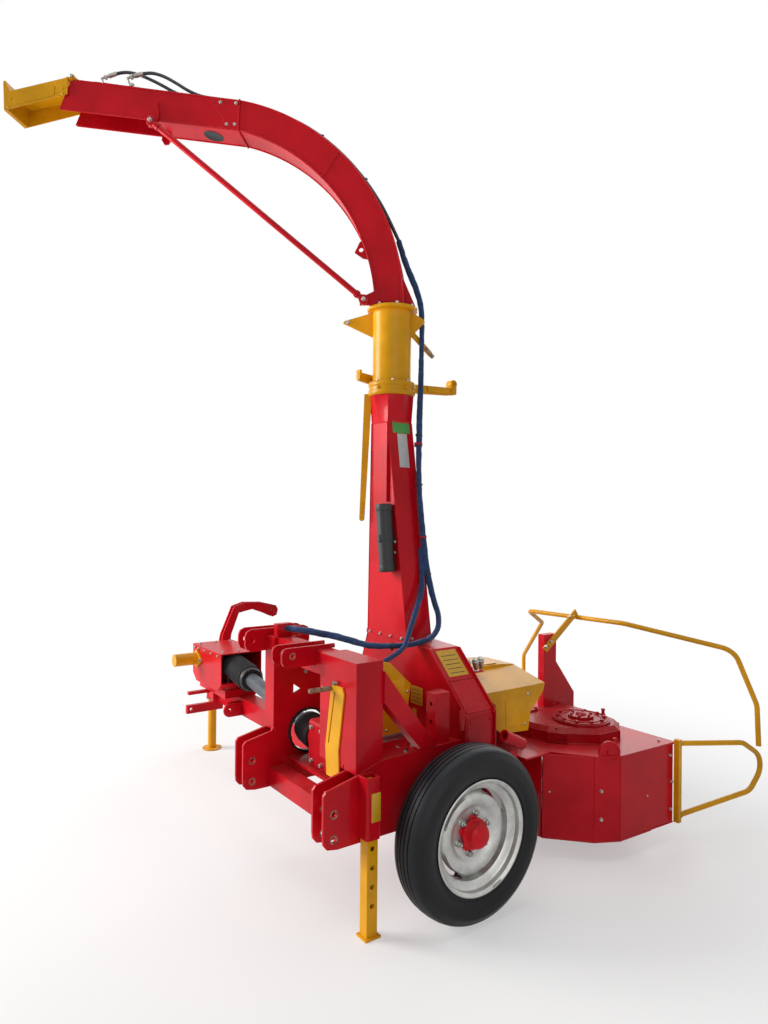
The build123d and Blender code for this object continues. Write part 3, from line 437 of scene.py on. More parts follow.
class Shape:
    """Faces gathered for the next piece of a body; each maker adds a form to it."""

    def __init__(self, body="chassis"):
        self.body = body
        self.start()

    def start(self):
        self.mesh = bmesh.new()
        self.uv = self.mesh.loops.layers.uv.new("map")

    def rings(self, rings, closed_ends=True, loop=False, lengths=None):
        """Skin over rings of points; loop joins the last ring to the first."""
        rows = [[self.mesh.verts.new(p) for p in ring] for ring in rings]
        count = len(rows[0])
        pairs = list(zip(rows, rows[1:])) + ([(rows[-1], rows[0])] if loop else [])
        for k, (low, high) in enumerate(pairs):
            for i in range(count):
                j = (i + 1) % count
                face = self.mesh.faces.new((low[i], low[j], high[j], high[i]))
                face.smooth = True
                if lengths:
                    ends = ((i, k), (i + 1, k), (i + 1, k + 1), (i, k + 1))
                    for corner, (a, b) in zip(face.loops, ends):
                        corner[self.uv].uv = (a / count, lengths[b])
        if closed_ends and not loop:
            self.mesh.faces.new(rows[0][::-1])
            self.mesh.faces.new(rows[-1])

    def lathe(self, centre, axis, profile, count=48, closed=False, change=None):
        """Profile of (along the axis, radius) turned round the axis; change(angle, radius) bends it."""
        centre, axis = placed(centre), axis.normalized()
        first, second = across(axis)
        rings = []
        for along, radius in profile:
            radius = max(radius, 0.00005)
            size = (lambda a, r=radius: change(a, r)) if change else radius
            rings.append(circle(centre + axis * along, first, second, size, count))
        self.rings(rings, loop=closed)

    def prism(self, centre, axis, across_flats, low, high, chamfer):
        """Six-sided form, such as a bolt's head."""
        corner = across_flats / 2 / math.cos(math.pi / 6)
        self.lathe(centre, axis, [(low, corner), (high - chamfer, corner), (high, corner - chamfer * 1.4)], 6)

    def bolt(self, place, axis, size):
        """Hexagon head on a washer; size is the width across the flats."""
        washer = size * 0.12
        self.lathe(place, axis, [(0.0, size * 0.62), (washer, size * 0.62), (size * 0.15, size * 0.58)], 20)
        self.prism(place, axis, size, washer, washer + size * 0.6, size * 0.07)

    def bolts(self, axis, size, *places):
        for place in places:
            self.bolt(place, axis, size)

    def bolt_circle(self, centre, axis, radius, count, size, start=0.0):
        for place in circle(placed(centre), *across(axis), radius, count, start):
            self.bolt(place, axis, size)

    def dome(self, place, axis, radius, height, count=18):
        """Low round head."""
        steps = [math.pi / 2 * k / 5 for k in range(1, 6)]
        crown = [(height * math.sin(a), radius * math.cos(a)) for a in steps]
        self.lathe(place, axis, [(0.0, radius)] + crown, count)

    def domes(self, axis, radius, height, *places):
        for place in places:
            self.dome(place, axis, radius, height)

    def washer(self, centre, axis, inner, outer, thick, count=32):
        """Flat ring lying on a face."""
        section = [(0, inner), (0, outer), (thick, outer - thick * 0.3), (thick, inner)]
        self.lathe(centre, axis, section, count, closed=True)

    def ridge(self, centre, axis, foot, top, half_foot, half_top, count):
        """Round ridge about an axis: radius and half width at its foot and at its top."""
        section = [(-half_foot, foot), (-half_top, top), (half_top, top), (half_foot, foot)]
        self.lathe(centre, axis, section, count)

    def slab(self, centre, axes, sizes, rounding=0.0, steps=3):
        """Flat plate with rounded corners: axes are its width, height and thickness directions."""
        centre = placed(centre)
        u, v, w = (a.normalized() for a in axes)
        half_u, half_v, half_w = (size / 2 for size in sizes)
        r = min(rounding, half_u, half_v)
        outline = []
        for corner, (su, sv) in enumerate(((1, 1), (-1, 1), (-1, -1), (1, -1))):
            for k in range(steps + 1 if r else 1):
                a = math.pi / 2 * (corner + k / steps)
                outline.append((su * (half_u - r) + r * math.cos(a), sv * (half_v - r) + r * math.sin(a)))
        edge = min(half_w * 0.5, 0.001)
        small = 1 - edge / half_u
        levels = [(-half_w, small), (edge - half_w, 1.0), (half_w - edge, 1.0), (half_w, small)]
        self.rings([[centre + (u * a + v * b) * scale + w * level for a, b in outline]
                    for level, scale in levels])

    def sweep(self, path, radius, count=14, shape=None, closed_ends=True):
        """Tube along points; shape(angle, length) may change its radius from place to place."""
        last = len(path) - 1
        first = across(path[1] - path[0])[0]
        rings, lengths, length = [], [], 0.0
        for i, point in enumerate(path):
            tangent = (path[min(i + 1, last)] - path[max(i - 1, 0)]).normalized()
            if i:
                length += (point - path[i - 1]).length
            first = (first - tangent * first.dot(tangent)).normalized()
            size = (lambda a, l=length: radius * shape(a, l)) if shape else radius
            rings.append(circle(point, first, tangent.cross(first), size, count))
            lengths.append(length)
        self.rings(rings, closed_ends=closed_ends, lengths=lengths)

    def panel(self, outline, push):
        """Flat plate of any outline, pushed out by a vector."""
        self.rings([outline, [p + push for p in outline]])

    def bead(self, radius, *places):
        """Weld bead: a low rippled ridge along a seam."""
        def ripple(angle, length):
            return 0.85 + 0.15 * math.sin(length / radius * 2.1)

        self.sweep(divided([placed(place) for place in places], radius * 0.9), radius, 8, ripple)

    def piece(self, name, finish, body="", replaces=()):
        """Turn what was gathered into a piece, and start on the next."""
        bmesh.ops.recalc_face_normals(self.mesh, faces=self.mesh.faces)
        data = bpy.data.meshes.new(name)
        self.mesh.to_mesh(data)
        self.mesh.free()
        data.set_sharp_from_angle(angle=SHARP_ANGLE)
        made = bpy.data.objects.new(name, data)
        bpy.context.scene.collection.objects.link(made)
        data.materials.append(FINISHES[finish])
        if body is not None:
            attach(made, body or self.body)
        if replaces:
            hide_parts(*replaces)
        self.start()
        return made


def divided(path, step):
    """The places of a path with more between them, about a step apart."""
    points = []
    for a, b in zip(path, path[1:]):
        count = max(1, round((b - a).length / step))
        points += [a.lerp(b, i / count) for i in range(count)]
    return points + [path[-1]]


def spline_points(route, resolution):
    """Points along the smooth curve whose control points are the route's."""
    data = bpy.data.curves.new("route", "CURVE")
    data.dimensions = "3D"
    spline = data.splines.new("NURBS")
    spline.points.add(len(route) - 1)
    for point, place in zip(spline.points, route):
        point.co = (*place, 1.0)
    spline.order_u = 3
    spline.use_endpoint_u = True
    spline.resolution_u = resolution
    holder = bpy.data.objects.new("route", data)
    bpy.context.scene.collection.objects.link(holder)
    mesh = bpy.data.meshes.new_from_object(holder)
    points = [v.co.copy() for v in mesh.vertices]
    bpy.data.objects.remove(holder)
    bpy.data.meshes.remove(mesh)
    return points


def line_up(a, b, count):
    """Evenly spaced places from a to b."""
    return [a.lerp(b, i / (count - 1)) for i in range(count)]


def heading(path, k):
    return (path[k + 1] - path[k - 1]).normalized()


# ------------------------------------------------------------------ paint on the carried-over nodes
YELLOW_NODES = ("drive_guard_front", "drive_guard_rear", "turntable_ring", "turntable_tube", "tie_strap",
                "deflector", "crop_loops", "crop_hoop", "guide_clamp", "pto_cap", "stand_leg_near",
                "stand_leg_far")
OTHER_NODES = {
    "flywheel": "machined_steel", "wheel_axle": "machined_steel", "skid_dishes": "rusty_steel",
    "hose_unions": "zinc", "cardan_shaft": "grey_plastic", "cardan_guards": "black_plastic",
    "document_tube": "black_plastic", "header_gearbox": "casting_red", "gearbox_covers": "casting_red",
    "bevel_gearbox": "casting_red", "unit_gearbox": "casting_red", "tyre": "tyre_rubber", "rim": "rim_silver",
    "hose_sleeve_lower": "blue_sleeve", "hose_sleeve_upper": "blue_sleeve", "hose_lines": "black_hose",
}


class HARVESTER_OT_paint(bpy.types.Operator):
    """Make the finishes and give one to every carried-over part"""

    bl_idname = "harvester.paint"
    bl_label = "Paint the parts"

    def execute(self, context):
        make_finishes(context.scene.harvester_paint)
        for name, part in NODES.items():
            finish = "yellow_paint" if name in YELLOW_NODES else OTHER_NODES.get(name, "red_paint")
            if not part.material_slots:
                part.data.materials.append(None)
            for slot in part.material_slots:
                slot.material = FINISHES[finish]
        return {"FINISHED"}


# ------------------------------------------------------------------ wheel
SIDEWALL = [(.057, .2065), (.060, .212), (.064, .220), (.068, .2285), (.0705, .2295), (.0716, .2335),
            (.0712, .235), (.0735, .242), (.0765, .252), (.0786, .268), (.0784, .284), (.0776, .290),
            (.0785, .2912), (.0778, .2945), (.0752, .300), (.070, .309), (.0640, .3165), (.0632, .3185),
            (.0555, .3242), (.046, .3284), (.038, .3303)]
RIM_OUTSIDE = [(.070, .217), (.068, .219), (.065, .2185), (.0625, .212), (.060, .2075), (.055, .2063),
               (.042, .2063), (.038, .204), (.035, .196), (.031, .184), (.026, .179)]
RIM_INSIDE = [(.070, .213), (.0665, .208), (.062, .2025), (.055, .2013), (.043, .2013), (.040, .198),
              (.0365, .190), (.031, .177), (.027, .173)]
DISC_FRONT = [(.008, .038), (.008, .092), (.010, .098), (.016, .106), (.024, .118), (.028, .134),
              (.024, .150), (.014, .160), (.004, .168), (.002, .1725)]
DISC_THICK = 0.005
GROOVE_PITCH, GROOVE_TOP, GROOVE_FOOT = 0.020, .0028, .0020      # spacing and half widths
VENTS = 4
VENT_DEPTH = 0.018
HUB_CAP = [(0, .060), (.006, .060), (.009, .056), (.010, .048), (.014, .0455), (.030, .0445), (.0315, .0465),
           (.036, .0465), (.038, .044), (.046, .038), (.050, .028), (.0515, .010)]
VALVE = [(0, .008), (.004, .0075), (.008, .0042), (.022, .004), (.022, .005), (.033, .005), (.034, .004)]
# how far a fitting's seat lies out from the wheel's middle, its distance from the axle and its angle
STUD_SEAT, STUD_CIRCLE = .008, .076
HUB_FACE, HUB_BOLT_CIRCLE, HUB_BOLTS, HUB_BOLT_TURN = .020, .052, 5, math.radians(18)
VALVE_SEAT, VALVE_CIRCLE, VALVE_TURN = .006, .160, math.radians(240)
WEIGHT_SEAT, WEIGHT_CIRCLE, WEIGHT_TURN = .069, .2115, math.radians(-68)


def mirrored(profile):
    return [(-y, r) for y, r in profile]


def tyre_profile(grooves, depth):
    """Section of the tyre as a closed line of (across, radius)."""
    tread = []
    for k in range(grooves):
        y = (k - (grooves - 1) / 2) * GROOVE_PITCH
        r = TYRE_R - 2.5 * y * y
        tread += [(y - GROOVE_TOP, r), (y - GROOVE_FOOT, r - depth), (y + GROOVE_FOOT, r - depth),
                  (y + GROOVE_TOP, r)]
    return mirrored(SIDEWALL) + tread + SIDEWALL[::-1]


def vent_edge(angle, radius):
    """Pulls the disc's edge inwards at the vents, which opens them."""
    pitch = 360 / VENTS
    turn = (math.degrees(angle) - pitch / 2) % pitch
    window = max(0.0, 1 - (min(turn, pitch - turn) / 31) ** 4)
    return radius - VENT_DEPTH * window * max(0.0, (radius - 0.15) / 0.0225)


class HARVESTER_OT_wheel(bpy.types.Operator):
    """Build the grooved tyre, the pressed rim with its vents, the nuts, the valve and the hub's grease cap"""

    bl_idname = "harvester.wheel"
    bl_label = "Wheel"

    def execute(self, context):
        settings = context.scene.harvester_wheel
        form = Shape("wheel")
        form.lathe(WHEEL, Y, tyre_profile(settings.grooves, settings.groove_depth), 128, closed=True)
        form.piece("tyre_carcass", "tyre_rubber", replaces=("tyre",))

        rim = RIM_OUTSIDE + mirrored(RIM_OUTSIDE[::-1]) + mirrored(RIM_INSIDE) + RIM_INSIDE[::-1]
        form.lathe(WHEEL, Y, rim, 112, closed=True)
        back = [(along - DISC_THICK, radius) for along, radius in reversed(DISC_FRONT)]
        form.lathe(WHEEL, -Y, DISC_FRONT + back, 112, closed=True, change=vent_edge)
        form.piece("rim_pressing", "rim_silver", replaces=("rim",))

        count = settings.studs
        for place in circle(WHEEL - Y * STUD_SEAT, X, Z, STUD_CIRCLE, count, math.tau * 0.3 / count):
            form.lathe(place, -Y, [(0, .0125), (.003, .0125), (.005, .010)], 20)
            form.prism(place, -Y, .019, .004, .018, .0015)
            form.lathe(place, -Y, [(.016, .006), (.024, .006), (.0255, .0048)], 14)
        form.piece("wheel_nuts", "zinc")

        place = WHEEL + spoke(VALVE_TURN, X, Z) * VALVE_CIRCLE
        form.lathe(place - Y * VALVE_SEAT, -Y, VALVE, 16)
        form.piece("wheel_valve", "black_plastic")

        out = spoke(WEIGHT_TURN, X, Z)
        form.slab(WHEEL - Y * WEIGHT_SEAT + out * WEIGHT_CIRCLE, (out.cross(Y), out, -Y),
                  (.046, .010, .005), .003)
        form.piece("balance_weight", "zinc")

        face = WHEEL - Y * HUB_FACE
        form.bolts(-Y, 0.015, *circle(face, X, Z, HUB_BOLT_CIRCLE, HUB_BOLTS, HUB_BOLT_TURN))
        form.lathe(face, -Y, HUB_CAP, 56)
        form.piece("hub_bolts", "red_paint")
        return {"FINISHED"}


# ------------------------------------------------------------------ hoses
def in_metres(points):
    return [tuple(v / 1000 for v in point) for point in points]


SLEEVE_UPPER = in_metres([(-28, 2900, 0), (-48, 2830, 2), (-78, 2750, 6), (-116, 2665, 12), (-140, 2585, 22),
                          (-143, 2510, 27), (-145, 2425, 25), (-143, 2338, 16)])
SLEEVE_LOWER = in_metres([(806, 147, 2190), (797, 139, 2115), (786, 130, 2030), (772, 113, 1900),
                          (760, 99, 1760), (752, 74, 1600), (750, 49, 1450), (753, 25, 1310),
                          (768, 0, 1180), (784, -44, 1070), (717, -84, 1002), (612, -84, 980),
                          (500, -52, 976), (400, -4, 980), (320, 86, 1012), (220, 188, 1034),
                          (165, 280, 1038), (150, 330, 1037)])
BRANCH = in_metres([(744, 60, 1400), (734, 36, 1290), (712, 6, 1207), (671, -14, 1138), (616, -46, 1070),
                    (566, -76, 1012), (540, -92, 972), (457, -110, 943), (383, -126, 925), (314, -140, 900),
                    (290, -150, 840), (285, -156, 760)])
LINE_1 = in_metres([(1484, 3812, 16), (1424, 3829, 16), (1348, 3819, 14), (1270, 3784, 12), (1194, 3742, 10),
                    (1115, 3694, 10), (1030, 3668, 10), (920, 3647, 10), (810, 3627, 10), (700, 3598, 10),
                    (590, 3560, 10), (480, 3508, 10), (380, 3446, 10), (288, 3370, 10), (200, 3280, 10),
                    (121, 3178, 10), (54, 3069, 10), (4, 2968, 10), (-28, 2900.5, 8.6)])
LINE_2 = in_metres([(1328, 3784, -16), (1264, 3798, -18), (1188, 3780, -16), (1112, 3736, -14),
                    (1048, 3694, -10), (980, 3662, -10), (880, 3642, -10), (760, 3618, -10),
                    (645, 3582, -10), (535, 3536, -10), (430, 3479, -10), (334, 3409, -10),
                    (244, 3326, -10), (160, 3230, -10), (86, 3125, -10), (26, 3020, -10),
                    (-28, 2900.5, -8.6)])
UNION_FEET = ((1.500, 3.736), (1.344, 3.706))
CRIMP = [(0, .0078), (.006, .0078), (.008, .0112), (.046, .0112), (.050, .0095), (.054, .0088)]
TIES_AT = (1.00, 0.66, 0.36, 0.14)        # along the spout
BANDS_AT = (1.94, 1.70, 1.28)             # heights
CLIPS_AT = (1.45, 1.90)


def crumpled(angle, length):
    """Uneven flattened section of a loose sleeve over its hoses."""
    fold = noise.noise(Vector((math.cos(angle) * 0.9, math.sin(angle) * 0.9, length * 26.0)))
    crease = noise.noise(Vector((math.cos(angle) * 1.6, math.sin(angle) * 1.6, length * 75.0)))
    return 1.0 + 0.10 * math.cos(2 * angle + length * 9) + 0.16 * fold + 0.07 * crease


def even_hose(angle, length):
    return 1.0 + 0.012 * math.sin(length * 900)


class HARVESTER_OT_hoses(bpy.types.Operator):
    """Lay the woven sleeve, its branch, the two spout hoses and their fittings, ties and clips"""

    bl_idname = "harvester.hoses"
    bl_label = "Hoses"

    def execute(self, context):
        settings = context.scene.harvester_hoses
        thick = settings.sleeve_diameter / 2
        route = [on_spout(*point) for point in SLEEVE_UPPER] + [at(*point) for point in SLEEVE_LOWER]
        path = spline_points(route, 24)
        form = Shape()
        form.sweep(path, thick, 20, crumpled)
        made = form.piece("hose_sleeve", "blue_sleeve", None,
                          replaces=("hose_sleeve_upper", "hose_sleeve_lower"))
        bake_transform(made)

        form.sweep(spline_points([at(*point) for point in BRANCH], 20), thick * 0.86, 18, crumpled)
        form.piece("hose_sleeve_branch", "blue_sleeve")

        crimps = Shape("spout")
        runs = [spline_points([on_spout(*point) for point in points], 12) for points in (LINE_1, LINE_2)]
        for run, foot, aside in zip(runs, UNION_FEET, (LINE_1[0][2], LINE_2[0][2])):
            form.sweep(run, settings.hose_diameter / 2, 14, even_hose)
            way = (run[1] - run[0]).normalized()
            base = on_spout(*foot, aside)
            top = run[0] - way * 0.046
            elbow = [base, base.lerp(top, .8) + UP * .004, top + UP * .003, run[0] - way * .02]
            crimps.sweep(spline_points(elbow, 8), .0062, 14)
            crimps.prism(base, UP, .024, -.006, .012, .001)
            crimps.prism(base, UP, .019, .024, .038, .001)
            crimps.prism(run[0] - way * 0.026, way, .021, 0, .013, .001)
            crimps.lathe(run[0] - way * 0.010, way, CRIMP, 20)
        form.piece("spout_hoses", "black_hose", "spout", replaces=("hose_lines",))
        crimps.piece("hose_crimps", "zinc", replaces=("hose_unions",))

        for s in TIES_AT:
            place = min(runs[0], key=lambda p: abs((p - SPOUT_AXIS).dot(ALONG) - s))
            near = min(runs[1], key=lambda p: (p - place).length)
            self.tie(form, (place + near) / 2, heading(runs[0], runs[0].index(place)), ASIDE, 0.020, 0.0105)
        form.piece("hose_ties", "black_plastic", "spout")

        for z in BANDS_AT:
            self.band(form, path, lambda p: abs(p.z - z), X, thick * 1.16, thick * 1.12)
        bend = at(.5, -.048, 1.024)
        self.band(form, path, lambda p: (p - bend).length, Z, thick * 1.16, thick * 1.12)
        form.piece("sleeve_bands", "black_plastic")

        for z in CLIPS_AT:
            place = self.band(form, path, lambda p: abs(p.z - z), X, thick * 1.2, thick * 1.2)
            form.slab(place + Y * .024 + X * .014, (X, Z, Y), (.036, .024, .020), .004)
        form.slab((.150, .310, 1.029), LEVEL, (.080, .034, .062), .006)
        form.piece("sleeve_holders", "red_paint", replaces=("sleeve_clips",))
        return {"FINISHED"}

    def band(self, form, path, distance, square, wide, high):
        """Tie the path at its place with the least distance."""
        k = min(range(len(path)), key=lambda i: distance(path[i]))
        way = heading(path, k)
        self.tie(form, path[k], way, way.cross(square).normalized(), wide, high)
        return path[k]

    def tie(self, form, centre, way, side, wide, high):
        """Flat band round one or two hoses, with its lock."""
        up = way.cross(side).normalized()
        rings = []
        for along, grow in ((-.0035, 0.0), (-.0035, .0012), (.0035, .0012), (.0035, 0.0)):
            rings.append(circle(centre + way * along, side * (wide + grow), up * (high + grow), 1.0, 28))
        form.rings(rings, loop=True)
        form.slab(centre + up * (high + .003), (side, way, up), (.008, .010, .005), .001)


# ------------------------------------------------------------------ headstock and stands
WELD = .004                   # half width of the frame's weld seams
# faces of a lower-link bracket, its plates' thickness and the heights of its two pin holes
BRACKET_OUT, BRACKET_IN, PLATE = .385, .298, .012
LOWER_PINS = (.467, .376)
LOWER_SCUFF, TOP_SCUFF = (.0113, .0165, .0006), (.0099, .0145, .0006)      # inside, outside and thickness
FAR_STAND = (.469, 1.908)


class HARVESTER_OT_headstock(bpy.types.Operator):
    """Add weld seams, worn pin holes, the stands' cross pins, the latch on the strap and the blank plate"""

    bl_idname = "harvester.headstock"
    bl_label = "Headstock and stands"

    def execute(self, context):
        form = Shape()
        for y, top in ((-.288, -.11), (.288, .296)):
            low = y * 1.02
            form.bead(WELD, (.10, y * .99, .586), (.10, y, .60))
            form.bead(WELD, (.157, low, .346), (.157, low, .424))
            form.bead(WELD, (.077, low, .345), (.157, low, .345))
            form.bead(WELD, (.19, top, .905), (.19, top, .998))
        form.bead(WELD, (.101, -.373, .586), (.222, -.373, .586))
        form.bead(WELD, (.222, -.373, .588), (.222, -.12, .588))
        for y in (-.047, .047):
            form.bead(WELD, (.12, y, 1.0), (.19, y, 1.0))
        for y in (.385, .467):
            form.bead(WELD, (.195, y, .945), (.195, y, 1.015))
        form.bead(.003, (.483, -.323, .834), (.559, -.323, .834))
        form.piece("frame_welds", "casting_red")

        for z in LOWER_PINS:
            for y, way in ((-BRACKET_OUT, -Y), (PLATE - BRACKET_OUT, Y), (-BRACKET_IN - PLATE, -Y),
                           (-BRACKET_IN, Y), (BRACKET_IN, -Y), (BRACKET_IN + PLATE, Y),
                           (BRACKET_OUT - PLATE, -Y), (BRACKET_OUT, Y)):
                form.washer((0, y, z), way, *LOWER_SCUFF)
        for y, way in ((-.047, -Y), (-.035, Y), (.035, -Y), (.047, Y)):
            form.washer((.008, y, .983), way, *TOP_SCUFF)
        form.piece("worn_pin_holes", "rusty_steel")

        x, y = FAR_STAND
        form.lathe((x - .038, y, .430), -X, [(0, .012), (.012, .012), (.014, .009)], 16)
        form.lathe((x, y, .330), Z, [(0, .0395), (.006, .0395), (.006, .0385)], 32)
        form.piece("stand_pins", "zinc")

        form.lathe((.093, -.200, .876), -X, [(0, .0096), (.092, .0096), (.0952, .0092), (.0962, .007)], 20)
        form.lathe((.055, -.200, .876), X, [(0, .0125), (.004, .0125)], 20)
        form.slab((.092, -.222, .900), BACK, (.020, .016, .004), .004)
        form.slab((.092, -.246, .905), BACK, (.018, .010, .004), .003)
        form.piece("strap_latch", "rusty_steel")

        form.slab((.141, -.4492, .483), NEAR, (.041, .106, .0012), .003)
        form.piece("socket_plate", "yellow_plate")

        form.bolts(-Y, .014, (.262, .298, .83), (.52, .298, .56))
        form.bolts(-Y, .013, (.57, -.385, .585), (.36, -.385, .44))
        form.bolts(-X, .012, (.613, -.323, .42), (.613, -.323, .60))
        form.piece("frame_bolts", "zinc")
        return {"FINISHED"}


# ------------------------------------------------------------------ drive line
SHAFT_FROM = at(.275, .196, .562)
SHAFT_TO = at(.430, 1.594, .646)
TUBE_RINGS = (.13, .36, .40, .70, .98, 1.02)      # along the shaft
BELL = [(0, .040), (0, .060), (.012, .066), (.10, .069), (.26, .071), (.44, .071), (.44, .045)]
BELL_SHARE = .655             # where the long bell begins, as a share of the shaft
BELL_RIBS, BELL_FIRST, BELL_PITCH = 14, .030, .022
CUFF_RIBS, CUFF_FIRST, CUFF_PITCH = 7, -.002, .016
BELL_LUGS = 10
LINK_PITCH, LINK_LONG, LINK_WIDE, LINK_WIRE = .010, .0078, .0042, .0014
CHAINS = (((.395, 1.492, .585), (.388, 1.470, .545), (.384, 1.455, .500), (.386, 1.448, .462),
           (.392, 1.450, .452)),
          ((.30, .262, .515), (.315, .250, .470), (.335, .262, .461)))


class HARVESTER_OT_drive(bpy.types.Operator):
    """Add the ribbed bells, rings and chains of the cross shaft and the bolts of the gearboxes and guards"""

    bl_idname = "harvester.drive"
    bl_label = "Drive line"

    def execute(self, context):
        way, reach = (SHAFT_TO - SHAFT_FROM).normalized(), (SHAFT_TO - SHAFT_FROM).length

        def along(distance):
            return SHAFT_FROM + way * distance

        form = Shape()
        for distance in (*TUBE_RINGS, reach - .12):
            form.ridge(along(distance), way, .0355, .0385, .006, .004, 40)
        form.lathe(along(.36), way, [(0, .036), (0, .0388), (.64, .0388), (.64, .036)], 40)
        form.piece("shaft_rings", "grey_plastic")

        mouth = reach * BELL_SHARE
        form.lathe(along(mouth), way, BELL, 48)
        for k in range(BELL_RIBS):
            form.ridge(along(mouth + BELL_FIRST + k * BELL_PITCH), way, .066, .0745, .005, .003, 48)
        for k in range(CUFF_RIBS):
            form.ridge(along(CUFF_FIRST + k * CUFF_PITCH), way, .068, .0735, .004, .002, 48)
        first, second = across(way)
        for i in range(BELL_LUGS):
            out = spoke(math.tau * i / BELL_LUGS, first, second)
            form.slab(along(mouth + .004) + out * .058, (way.cross(out), way, out), (.012, .026, .014), .002)
        form.bolt_circle((.275, .286, .562), -Y, .0965, 8, .010, .2)
        form.piece("shaft_bells", "black_plastic")

        for chain in CHAINS:
            self.links(form, divided(spline_points([at(*place) for place in chain], 14), LINK_PITCH))
        form.piece("guard_chains", "zinc")

        form.bolts(-X, .015, *((.185, y, z) for y in (-.06, .02, .10) for z in (.49, .635)))
        form.bolt_circle((.275, .140, .562), Y, .074, 6, .014, .5)
        form.bolt_circle((.365, 0, .562), X, .070, 6, .014)
        form.bolt_circle((.608, 0, .562), -X, .078, 8, .014, .3)
        form.bolts(-X, .014, *((.370, y, z) for z in (.575, .685) for y in (1.658, 1.782)))
        form.bolts(-X, .015, (.290, 1.672, .642), (.290, 1.814, .642))
        form.bolts(-X, .012, *((.300, y, .708) for y in (1.42, 1.52, 1.62, 1.72, 1.78)))
        form.bolts(Z, .013, *((x, y, .725) for x in (.33, .43, .53) for y in (1.42, 1.77)))
        form.piece("gearbox_bolts", "zinc")

        form.domes(-Y, .007, .004, (.39, -.165, .65), (.50, -.165, .80), (1.10, -.300, .735),
                   (1.08, -.300, .60))
        form.piece("guard_screws", "zinc")

        for y, side in ((-.30, -1), (.11, 1)):
            form.slab((1.014, y + side * .001, .665), (X, Z, Y * side), (.118, .13, .0022), .012)
        form.slab((1.02, -.01, .8365), LEVEL, (.22, .13, .002), .02)
        form.slab((.445, -.166, .80), NEAR, (.08, .11, .002), .012)
        form.piece("guard_pressings", "yellow_paint")
        return {"FINISHED"}

    def links(self, form, path):
        """A chain link between every two places, each turned from the last."""
        for k, (a, b) in enumerate(zip(path, path[1:])):
            way = (b - a).normalized()
            side = across(way)[(k + 1) % 2]
            ring = circle((a + b) / 2, way * LINK_LONG, side * LINK_WIDE, 1.0, 14)
            form.sweep(ring + ring[:1], LINK_WIRE, 6, closed_ends=False)


# ------------------------------------------------------------------ chopper housing
DRUM_TOP = .975
DRUM_FACE, DRUM_RIM = .6205, .786          # X of the front seams and of the rim
DRUM = [(-.405, .39424), (-.405, .72976), (-.16776, .967), (0, DRUM_TOP), (.317, DRUM_TOP), (.405, .72976),
        (.405, .39424), (.16776, .157), (-.16776, .157)]
COUPLING = [(0, .009), (.016, .009), (.017, .0135), (.030, .0135), (.032, .0165), (.046, .0165), (.049, .013),
            (.056, .0125), (.058, .009)]


